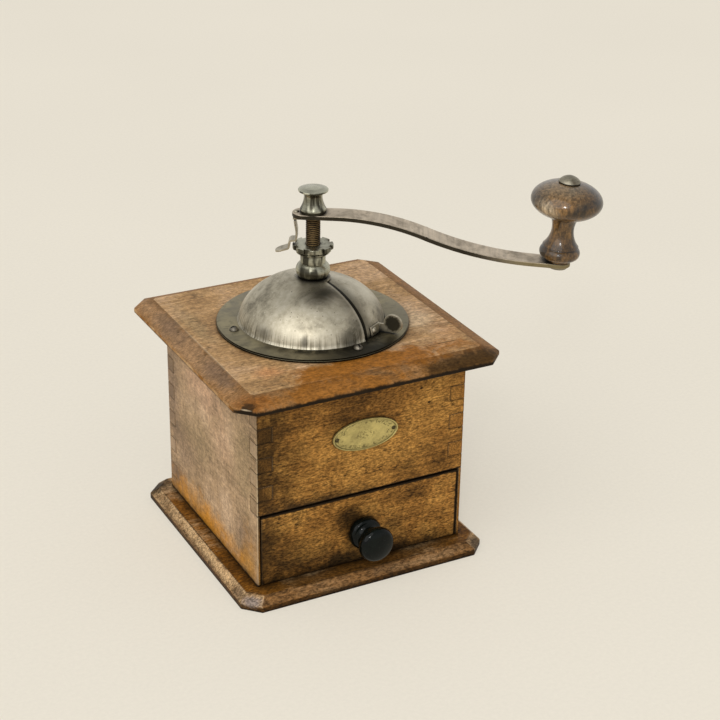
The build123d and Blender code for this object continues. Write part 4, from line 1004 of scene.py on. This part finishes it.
def front_finish(c):
    """Front panel: brown varnish, rubbed in the middle, with two small holes, and soiling and painted shade
    along its edges.
    """
    return beech(
        "beech_front", 0, (c.front_dark, c.front_mid, c.front_light), 2.4,
        end_tones=worn_ends(c), end_marks=left_stains(c), mottle=0.58, flecks=0.75, smudges=0.3,
        dark_rims=0.85, side_rims=0.45, marks=front_stains_and_shade(c),
        lines=(
            front_arris(c),
            ((35, FRONT, 106.5), (1.2, 3, 0.8), c.grime_and_shade, 0.9, 0.5),
            ((40, FRONT, 97), (1.3, 3, 0.9), c.grime_and_shade, 0.9, 0.5),
            # Painted shade: dark line along the gap over the drawer.
            ((0, FRONT, 51.2), (200, 3, 1.0), c.grime_and_shade, 0.95, 0.5),
            # Painted shade with some soiling: dark band under the top board.
            ((0, FRONT, 120.2), (200, 3, 2.6), c.grime_and_shade, 0.8, 0.7),
        ),
    )


def back_finish(c):
    """Back panel: as the front, plainer."""
    return beech(
        "beech_back", 0, (c.front_dark, c.front_mid, c.front_light), 9.2,
        end_tones=worn_ends(c), end_marks=left_stains(c), mottle=0.5, dark_rims=0.6, side_rims=0.5,
        marks=(
            ((0, BACK, 64), (45, 10, 34), c.front_light, 0.5, 0.9),
            ((0, BACK, 121), (90, 10, 12), SOOT_AND_SHADE, 0.7, 0.9),
            ((0, BACK, 8), (90, 10, 12), SOOT_AND_SHADE, 0.7, 0.9),
        ),
    )


def drawer_finish(c):
    """Drawer front: brown varnish, dark by the pull, with painted shade along its gaps."""
    soot = paint(40, 29, 15)
    return beech(
        "beech_drawer", 0, (c.front_dark, c.front_mid, c.front_light), 6.3, mottle=0.64, flecks=0.8,
        smudges=0.65, dark_rims=0.5, pale_rims=0.15,
        marks=(
            ((-30, FRONT, 24), (20, 10, 13), c.front_light, 0.4, 0.9),
            ((-60, FRONT, 28), (26, 10, 44), paint(52, 36, 14), 0.85, 0.9),
            ((0, FRONT, 8), (90, 10, 16), soot, 0.97, 0.9),
            ((-7, FRONT, 37), (15, 10, 11), soot, 0.9, 0.9),
            ((20, FRONT, 25), (10, 10, 9), soot, 0.6, 0.9),
        ),
        lines=(
            # Painted shade in the gaps: under the front panel and at the right end.
            ((0, FRONT, 50.2), (200, 3, 1.3), c.grime_and_shade, 0.97, 0.5),
            ((60.3, FRONT, 28), (1.8, 3, 60), c.grime_and_shade, 0.97, 0.5),
        ),
    )


# Pieces


class MILL_OT_case(bpy.types.Operator):
    """Base, top and the four finger-jointed boards of the case"""

    bl_idname = "mill.case"
    bl_label = "Case boards"

    def execute(self, context):
        sizes, c = context.scene.mill_sizes, context.scene.mill_colours
        boards = (
            ("top_plate", "top_board", sizes.board_edge, top_finish(c)),
            ("base_plate", "base_board", sizes.joint_edge, base_finish(c)),
            ("left_side", "left_board", sizes.joint_edge, left_finish(c)),
            ("right_side", "right_board", sizes.joint_edge, right_finish(c)),
            ("front_panel", "front_board", sizes.joint_edge, front_finish(c)),
            ("back_panel", "back_board", sizes.joint_edge, back_finish(c)),
        )
        for node, name, edge, finish in boards:
            fit(worn_copy(node, name, edge), finish, node)
        dress(bare_wood("bare_blocks", 2, 4.4), "glue_blocks")
        dress(fitting_steel("old_screws", c.screws, seed=6.0, shine=0.34, rusty=0.5), "base_screws")
        return {"FINISHED"}


class MILL_OT_oval_plate(bpy.types.Operator):
    """Bare oval brass plate and its two nails"""

    bl_idname = "mill.oval_plate"
    bl_label = "Oval plate"

    def execute(self, context):
        sizes = context.scene.mill_sizes
        brass = dull_brass("dull_brass", "oval_plate")
        fit(worn_copy("oval_plate", "oval_brass", sizes.sheet_edge, shortest=0.2), brass, "oval_plate")
        nail = fitting_steel("nail_steel", paint(96, 88, 62), seed=2.2, shine=0.4, rusty=0.3, edge_dirt=0.6)
        nails = worn_copy("oval_nails", "oval_plate_nails", 0.1 * MM, steps=1, shortest=0.2)
        fit(nails, nail, "oval_nails")
        return {"FINISHED"}


class MILL_OT_drawer(bpy.types.Operator):
    """Drawer box and its front"""

    bl_idname = "mill.drawer"
    bl_label = "Drawer"

    def execute(self, context):
        sizes, c = context.scene.mill_sizes, context.scene.mill_colours
        along = bare_wood("bare_drawer_sides", 1, 2.9)
        across = bare_wood("bare_drawer_back", 0, 8.1)
        boards = (
            ("drawer_front", "drawer_face", drawer_finish(c)),
            ("drawer_left_side", "drawer_left", along),
            ("drawer_right_side", "drawer_right", along),
            ("drawer_back", "drawer_rear", across),
            ("drawer_floor", "drawer_bottom", across),
        )
        for node, name, finish in boards:
            fit(worn_copy(node, name, sizes.drawer_edge), finish, node)
        dress(fitting_steel("pull_screw", c.screws, seed=3.0, shine=0.34, rusty=0.5), "drawer_pull_screw")
        return {"FINISHED"}


class MILL_OT_pull(bpy.types.Operator):
    """Black turned pull on the drawer"""

    bl_idname = "mill.pull"
    bl_label = "Drawer pull"

    def execute(self, context):
        foot = arc((8.5, 0.0), (9.5, 2.6), (8.4, 5.2), 12)
        neck = arc((8.4, 5.2), (5.4, 8.8), (7.2, 12.0), 14)
        rim = arc((7.2, 12.0), (10.2, 15.4), (8.2, 18.9), 18)
        face = cap(8.2, 18.9, 1.6, 10)
        pull = turned("black_pull", [(0.0, 0.0), (5.0, 0.0), *foot, *neck[1:], *rim[1:], *face[1:]])
        spot = (middle_of("drawer_pull", 0), FRONT, middle_of("drawer_pull", 2))
        set_down(pull, spot, up=(0, -1, 0))
        smooth(pull, 50.0)
        fit(pull, black_lacquer("black_lacquer"), "drawer_pull")
        return {"FINISHED"}


class MILL_OT_hopper(bpy.types.Operator):
    """Dome with its mouth, shutter with its ear, bowl and flange screws"""

    bl_idname = "mill.hopper"
    bl_label = "Hopper"

    # Heights of the flange's foot and top, and of the dome's flat top
    rim = 128.5
    seat = 129.5
    flat = 155.0

    def dome(self, c, tarnish_and_shade):
        rim, seat, flat = self.rim, self.seat, self.flat
        outer = ellipse(rim, 41.0, 27.0, 6.5, 78.9, 44)
        inner = ellipse(rim, 40.0, 26.0, 80.0, 0.0, 40)
        foot = [(42.2, seat), (41.5, seat + 0.25), (41.0, seat + 0.9)]
        edge = [
            (52.6, rim), (52.9, rim + 0.12), (53.0, rim + 0.35),
            (53.0, seat - 0.35), (52.9, seat - 0.12), (52.6, seat),
        ]
        neck = [(7.85, flat), (6.6, flat), (6.6, flat - 0.85)]
        dome = turned("steel_dome", [*edge, *foot, *outer, *neck, *inner, (46.0, rim), edge[0]])
        cut_away(dome, wedge("mouth", inner=9.6, low=seat, start=MOUTH_START, sweep=MOUTH_SWEEP))
        smooth(dome, 30.0)
        finish = dome_steel("dome_steel", seed=2.7, flange_top=seat, collar_shade=0.3, lip=0.3, marks=(
            # Painted shade under the collar at the front.
            ((-3, -19, 152), (20, 12, 8), tarnish_and_shade, 0.9, 0.95),
            ((7, -26, 146), (8, 10, 10), tarnish_and_shade, 0.6, 0.95),
            # Painted highlights: bright lobes on the left and at the front.
            ((-27.5, -29, 138), (9, 9, 10), c.steel, 0.3, 0.9),
            ((-15, -37, 136), (6, 5, 8), c.steel, 0.25, 0.9),
            ((-21.5, -33.7, 133), (2.8, 2.8, 6), tarnish_and_shade, 0.7, 0.8),
            ((2, -40, 133), (9, 6, 7), tarnish_and_shade, 0.75, 0.8),
            ((-36, -14, 134), (6, 12, 6), tarnish_and_shade, 0.6, 0.9),
            ((9, -37, 138), (8, 8, 12), tarnish_and_shade, 0.6, 0.95),
            ((-6, -33, 147.5), (2.6, 2.6, 0.5), tarnish_and_shade, 0.9, 0.5),
            ((-24, -28, 146), (1.2, 1.2, 3.5), tarnish_and_shade, 0.6, 0.6),
            ((12, -50, seat), (54, 14, 0.6), dimmed(tarnish_and_shade, 0.3), 0.9, 0.8),
        ))
        fit(dome, finish, "dome")

    def shutter(self, c, tarnish_and_shade):
        outer = ellipse(self.rim, 39.55, 25.55, 0.7, 80.1, 44)
        inner = ellipse(self.rim, 38.75, 24.75, 79.9, 0.7, 44)
        shutter = turned("steel_shutter", [*outer, *inner, outer[0]])
        cut_away(shutter, wedge("gap", inner=12.5, low=110.0, start=54.0, sweep=228.0))
        smooth(shutter, 30.0)
        finish = dome_steel("shutter_steel", seed=5.3, seam_shadow_and_dirt=0.97, marks=(
            # Painted light: the shutter lightened on its right, where it faces away from the light.
            ((27, -12, 146), (14, 18, 10), c.steel, 0.6, 0.9),
            ((31, -24, 134), (12, 12, 8), tarnish_and_shade, 0.6, 0.95),
        ))
        fit(shutter, finish, "shutter")

    def execute(self, context):
        sizes, c = context.scene.mill_sizes, context.scene.mill_colours
        tarnish_and_shade = dimmed(c.steel_stain, 0.35)
        self.dome(c, tarnish_and_shade)
        self.shutter(c, tarnish_and_shade)
        # Painted shade in the ear's hollow.
        ear_hollow_shade = ((30.5, -36.4, 135.3), (5.2, 5.2, 5.2), dimmed(c.steel_stain, 0.4), 0.95, 0.3)
        dark = fitting_steel(
            "tab_steel", c.steel_dull, seed=4.7, shine=0.4, rusty=0.2, rim_wear_and_highlights=0.85, rim_width=0.001,
            marks=(ear_hollow_shade,),
        )
        bowl = dome_steel("bowl_steel", seed=8.4, flange_top=self.rim)
        screw = fitting_steel(
            "flange_screw_steel", dimmed(c.screws, 0.45), seed=1.1, shine=0.34, rusty=0.5, edge_dirt=0.7
        )
        fittings = (
            ("shutter_tab", "shutter_ear", sizes.sheet_edge, 2, 0.2, dark),
            ("shutter_rivet", "shutter_ear_rivet", 0.1 * MM, 1, 0.2, dark),
            ("hopper_bowl", "steel_bowl", 0.15 * MM, 1, 0.6, bowl),
            ("flange_screws", "flange_screw_heads", 0.12 * MM, 1, 0.2, screw),
        )
        for node, name, edge, steps, shortest, finish in fittings:
            fit(worn_copy(node, name, edge, steps, shortest), finish, node)
        dress(dark, "shutter_clip")
        return {"FINISHED"}


class MILL_OT_mill(bpy.types.Operator):
    """Cast grinding parts inside the case"""

    bl_idname = "mill.mill"
    bl_label = "Grinding parts"

    def execute(self, context):
        c = context.scene.mill_colours
        dress(cast_iron("cast_iron"), "grinding_ring", "grinding_cone", "bearing_bridge")
        steel = fitting_steel("mill_screws", c.screws, seed=9.0, shine=0.34, rusty=0.4)
        dress(steel, "ring_screws", "bridge_screws", "cone_pin")
        return {"FINISHED"}


class MILL_OT_spindle(bpy.types.Operator):
    """Collar, washer, notched nut and the spindle with its thread"""

    bl_idname = "mill.spindle"
    bl_label = "Spindle and nut"

    bore = 4.05
    crest = 4.0
    thread_foot = 170.6
    thread_turns = 16

    def stack(self, c):
        bore = self.bore
        bright = fitting_steel("bright_steel", c.turned_steel, seed=3.3, shine=0.2, rusty=0.1, dark_reflection_bands=0.9)
        foot, top = heights_of("dome_collar")
        sill = end_of("dome", 1, 2)
        swell = arc((7.5, sill), (9.4, sill + 3.6), (6.9, sill + 8.4), 20)
        collar = turned("bearing_collar", [
            (bore, foot), (6.5, foot), (6.5, sill), *swell,
            (6.9, top - 0.5), (6.75, top - 0.1), (6.4, top), (bore, top), (bore, foot),
        ])
        foot, top = heights_of("thrust_washer")
        washer = turned("dished_washer", [
            (bore, foot), (7.4, foot), (8.6, foot + 0.25), (9.1, foot + 0.6), (9.2, foot + 0.9),
            (9.15, top - 0.1), (8.9, top), (bore, top), (bore, foot),
        ])
        for piece, node in ((collar, "dome_collar"), (washer, "thrust_washer")):
            smooth(piece, 34.0)
            fit(piece, bright, node)

    def thread(self, sizes, root):
        pitch, foot, crest, ease = sizes.thread_pitch / MM, self.thread_foot, self.crest, 0.06
        tooth = [
            (root, foot), (crest - ease, foot + 0.36 * pitch), (crest, foot + 0.43 * pitch),
            (crest, foot + 0.57 * pitch), (crest - ease, foot + 0.64 * pitch), (root, foot + pitch),
        ]
        thread = drawn("spindle_thread", tooth)
        bpy.ops.object.mode_set(mode="OBJECT")
        apply(
            thread, "SCREW", axis="Z", angle=2 * pi, screw_offset=sizes.thread_pitch,
            iterations=self.thread_turns, steps=48, render_steps=48,
            use_merge_vertices=True, merge_threshold=SAME_POINT,
        )
        bpy.ops.object.mode_set(mode="EDIT")
        bpy.ops.mesh.select_all(action="DESELECT")
        bpy.ops.mesh.select_non_manifold()
        bpy.ops.mesh.fill()
        close_up(thread)
        smooth(thread, 40.0)
        return thread

    def execute(self, context):
        sizes, c = context.scene.mill_sizes, context.scene.mill_colours
        self.stack(c)
        worn = fitting_steel(
            "nut_steel", c.turned_steel, seed=7.1, shine=0.26, rusty=0.4, edge_dirt=0.5, rim_wear_and_highlights=0.2,
            dark_reflection_bands=0.85,
        )
        fit(worn_copy("adjusting_nut", "notched_nut", 0.3 * MM, shortest=0.3), worn, "adjusting_nut")
        crest, root = self.crest, self.crest - sizes.thread_depth / MM
        core, pin = root - 0.02, 2.8
        thread = self.thread(sizes, root)
        foot, top = heights_of("spindle")
        start, shoulder = self.thread_foot, self.thread_foot + 19.0
        shaft = turned("spindle_shaft", [
            (0.0, foot), (3.6, foot), (crest, foot + 0.4), (crest, start - 0.2), (core, start + 0.3),
            (core, shoulder), (pin, shoulder + 0.1), (pin, top - 0.3), (pin - 0.3, top), (0.0, top),
        ])
        smooth(shaft, 40.0)
        rusty = thread_steel("thread_steel")
        fit(shaft, rusty, "spindle")
        thread.data.materials.append(rusty)
        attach(thread, "crank")
        return {"FINISHED"}


class MILL_OT_crank(bpy.types.Operator):
    """Crank bar, its eye washer, the nut on top and the spring latch"""

    bl_idname = "mill.crank"
    bl_label = "Crank"

    bore = 2.9

    def top_nut(self, c):
        bore = self.bore
        # Painted dark reflection round the nut's waist.
        dark_waist_reflection = ((0, 0, 199.5), (12, 12, 5.5), dimmed(c.steel_stain, 0.5), 0.5, 0.9)
        bright = fitting_steel(
            "cap_steel", c.turned_steel, seed=8.8, shine=0.2, rusty=0.05, dark_reflection_bands=0.92, marks=(dark_waist_reflection,)
        )
        dark = fitting_steel("eye_steel", dimmed(c.steel_stain, 0.4), seed=2.5, shine=0.4, rusty=0.5)
        foot, top = heights_of("eye_washer")
        eye = turned("eye_ring", [
            (bore, foot), (6.8, foot), (7.0, foot + 0.2), (7.0, top - 0.3), (6.75, top), (bore, top),
            (bore, foot),
        ])
        foot, top = heights_of("cap_nut")
        waist, lip, roof = (5.0, foot + 7.4), foot + 11.0, foot + 7.7
        flare = arc((7.1, foot + 0.8), (5.65, foot + 3.9), waist, 16)
        saucer = arc(waist, (5.9, foot + 9.7), (8.1, foot + 10.8), 14)
        crown = cap(8.0, top - 1.0, 1.0, 10)
        nut = turned("cap_top_nut", [
            (bore, foot), (6.9, foot), (7.1, foot + 0.2), *flare, *saucer[1:],
            (8.15, lip), (8.15, lip + 0.5), *crown[:-1], (0.0, top),
            (0.0, roof), (bore, roof), (bore, foot),
        ])
        for piece, finish, node in ((eye, dark, "eye_washer"), (nut, bright, "cap_nut")):
            smooth(piece, 34.0)
            fit(piece, finish, node)

    def execute(self, context):
        sizes, c = context.scene.mill_sizes, context.scene.mill_colours
        bar = fitting_steel(
            "bar_steel", c.bar_steel, seed=4.1, shine=0.42, rusty=0.08, edge_dirt=0.6, flank_shade_and_light=True
        )
        spring = fitting_steel("spring_steel", c.steel_dull, seed=5.2, shine=0.3, rusty=0.4)
        strips = (
            ("crank_arm", "crank_bar", sizes.bar_edge, 3, 0.3, bar),
            ("latch_strip", "spring_latch", 0.2 * MM, 2, 0.3, spring),
            ("latch_leaf", "latch_root", 0.15 * MM, 1, 0.6, spring),
            ("latch_rivet", "latch_root_rivet", 0.1 * MM, 1, 0.2, spring),
        )
        for node, name, edge, steps, shortest, finish in strips:
            fit(worn_copy(node, name, edge, steps, shortest), finish, node)
        self.top_nut(c)
        return {"FINISHED"}


class MILL_OT_knob(bpy.types.Operator):
    """Turned knob of the crank on its riveted pin"""

    bl_idname = "mill.knob"
    bl_label = "Crank knob"

    def execute(self, context):
        c = context.scene.mill_colours
        spin = JOINT_OF["knob_spin"]
        spot, up = [v / MM for v in spin["pos_m"]], spin["axis"]
        bore, cap_r, cap_z = 3.05, 19.28, 34.6
        bulge = arc((7.6, 1.7), (11.0, 4.9), (9.3, 8.2), 20)
        neck = arc((9.7, 9.0), (6.0, 18.2), (8.2, 26.4), 24)
        under = ellipse(cap_z, cap_r, 10.0, -64.0, 0.0, 24)
        over = ellipse(cap_z, cap_r, 10.4, 0.0, 80.4, 30)
        knob = turned("turned_knob", [
            (bore, 0.3), (6.6, 0.3), (6.6, 1.7), *bulge, (9.1, 8.6), *neck[:-2], *under, *over[1:],
            (bore, 44.9), (bore, 0.3),
        ])
        head = cap(6.0, 45.2, 3.3, 12)
        pin = turned("knob_rivet", [
            (0.0, -4.1), (4.3, -4.1), (5.0, -3.8), (5.4, -3.3), (5.4, -2.5), (3.0, -2.5), (3.0, 45.2),
            (5.8, 45.2), *head,
        ])
        rivet = fitting_steel(
            "rivet_steel", dimmed(c.steel_dull, 0.75), seed=6.6, shine=0.36, rusty=0.4, edge_dirt=0.8
        )
        walnut = walnut_knob("walnut_knob", spot, up)
        for piece, finish, node in ((knob, walnut, "crank_knob"), (pin, rivet, "knob_pin")):
            set_down(piece, spot, up)
            smooth(piece, 40.0)
            fit(piece, finish, node)
        return {"FINISHED"}


class MILL_OT_stage(bpy.types.Operator):
    """Pale floor, soft light and the camera"""

    bl_idname = "mill.stage"
    bl_label = "Stage"

    def floor(self, settings):
        bpy.ops.mesh.primitive_plane_add(size=2 * settings.floor_half, location=(0, 0, 0))
        floor = bpy.context.object
        floor.name = "floor"
        f = Finish("pale_floor")
        tone = tuple(settings.floor)
        broad, fine = f.noise(f.mapped(), 3.0, 2.0, 0.5), f.noise(f.mapped(), 420.0, 4.0, 0.7)
        cloud = f.calc("ADD", f.times(broad, 0.3), f.times(fine, 0.7))
        colour = f.ramp(cloud, (0.36, dimmed(tone, 0.97)), (0.64, dimmed(tone, 1.02)))
        f.done(colour, 0.9)
        ray = f.add("ShaderNodeLightPath").outputs
        seen = f.calc("MAXIMUM", ray["Is Camera Ray"], ray["Is Glossy Ray"])
        seen = f.calc("MAXIMUM", seen, ray["Is Transmission Ray"])
        glow = f.add("ShaderNodeEmission")
        f.feed_all(glow, color=colour)
        blend = f.add("ShaderNodeMixShader")
        f.feed(blend.inputs[0], f.times(seen, settings.floor_glow))
        f.feed(blend.inputs[1], f.shader.outputs[0])
        f.feed(blend.inputs[2], glow.outputs[0])
        f.feed(f.tree.nodes["Material Output"].inputs["Surface"], blend.outputs[0])
        floor.data.materials.append(f.material)

    def sky(self, context, power):
        world = bpy.data.worlds.new("soft_room")
        world.use_nodes = True
        context.scene.world = world
        tree = world.node_tree
        back = tree.nodes["Background"]
        back.inputs["Strength"].default_value = power
        look = tree.nodes.new("ShaderNodeTexCoord")
        split = tree.nodes.new("ShaderNodeSeparateXYZ")
        shade = tree.nodes.new("ShaderNodeValToRGB")
        tree.links.new(look.outputs["Generated"], split.inputs[0])
        tree.links.new(split.outputs["Z"], shade.inputs[0])
        tree.links.new(shade.outputs[0], back.inputs["Color"])
        stops = ((0.0, (1.0, 0.98, 0.95)), (0.3, (0.98, 0.97, 0.95)), (0.95, (0.63, 0.635, 0.64)))
        shade.color_ramp.elements.new(0.5)
        for element, (height, tint) in zip(shade.color_ramp.elements, stops):
            element.position = height
            element.color = (*tint, 1.0)

    def lamp(self, name, kind, place, power):
        """Light that hangs at a place and points at the mill's foot."""
        bpy.ops.object.light_add(type=kind, location=tuple(place))
        lamp = bpy.context.object
        lamp.name = name
        lamp.data.energy = power
        lamp.rotation_euler = (-lamp.location).to_track_quat("-Z", "Y").to_euler()
        return lamp.data

    def camera(self, context, settings):
        bpy.ops.object.camera_add(
            location=tuple(settings.camera_place), rotation=tuple(settings.camera_turn)
        )
        camera = bpy.context.object
        camera.name = "camera"
        camera.data.lens = settings.camera_lens
        camera.data.sensor_width = SENSOR_WIDTH
        context.scene.camera = camera
        context.scene.view_settings.view_transform = "Standard"

    def execute(self, context):
        settings = context.scene.mill_stage
        lay_down()
        self.floor(settings)
        self.sky(context, settings.sky_power)
        key = self.lamp("key_light", "SUN", settings.key_place, settings.key_power)
        key.angle = settings.key_spread
        key.color = settings.key_tint
        glint = self.lamp("glint_light", "AREA", settings.glint_place, settings.glint_power)
        glint.size = settings.glint_size
        self.camera(context, settings)
        return {"FINISHED"}


class MILL_PT_pieces(bpy.types.Panel):
    """Sidebar list of the mill's pieces and settings"""

    bl_idname = "MILL_PT_pieces"
    bl_label = "Box coffee mill"
    bl_space_type = "VIEW_3D"
    bl_region_type = "UI"
    bl_category = "Mill"

    def draw(self, context):
        for piece in PIECES:
            self.layout.operator(piece.bl_idname)
        for group in (context.scene.mill_sizes, context.scene.mill_colours, context.scene.mill_stage):
            box = self.layout.box()
            for name in group.__annotations__:
                box.prop(group, name)


PIECES = (
    MILL_OT_case,
    MILL_OT_oval_plate,
    MILL_OT_drawer,
    MILL_OT_pull,
    MILL_OT_hopper,
    MILL_OT_mill,
    MILL_OT_spindle,
    MILL_OT_crank,
    MILL_OT_knob,
    MILL_OT_stage,
)
GROUPS = {"mill_sizes": MillSizes, "mill_colours": MillColours, "mill_stage": MillStage}


def register():
    for group in (*GROUPS.values(), *PIECES, MILL_PT_pieces):
        bpy.utils.register_class(group)
    for name, group in GROUPS.items():
        setattr(bpy.types.Scene, name, PointerProperty(type=group))


def unregister():
    for name in GROUPS:
        delattr(bpy.types.Scene, name)
    for group in (MILL_PT_pieces, *reversed(PIECES), *reversed(GROUPS.values())):
        bpy.utils.unregister_class(group)


def main():
    register()
    bpy.ops.mill.case()
    bpy.ops.mill.oval_plate()
    bpy.ops.mill.drawer()
    bpy.ops.mill.pull()
    bpy.ops.mill.hopper()
    bpy.ops.mill.mill()
    bpy.ops.mill.spindle()
    bpy.ops.mill.crank()
    bpy.ops.mill.knob()
    bpy.ops.mill.stage()
    lay_down()


if __name__ == "__main__":
    main()
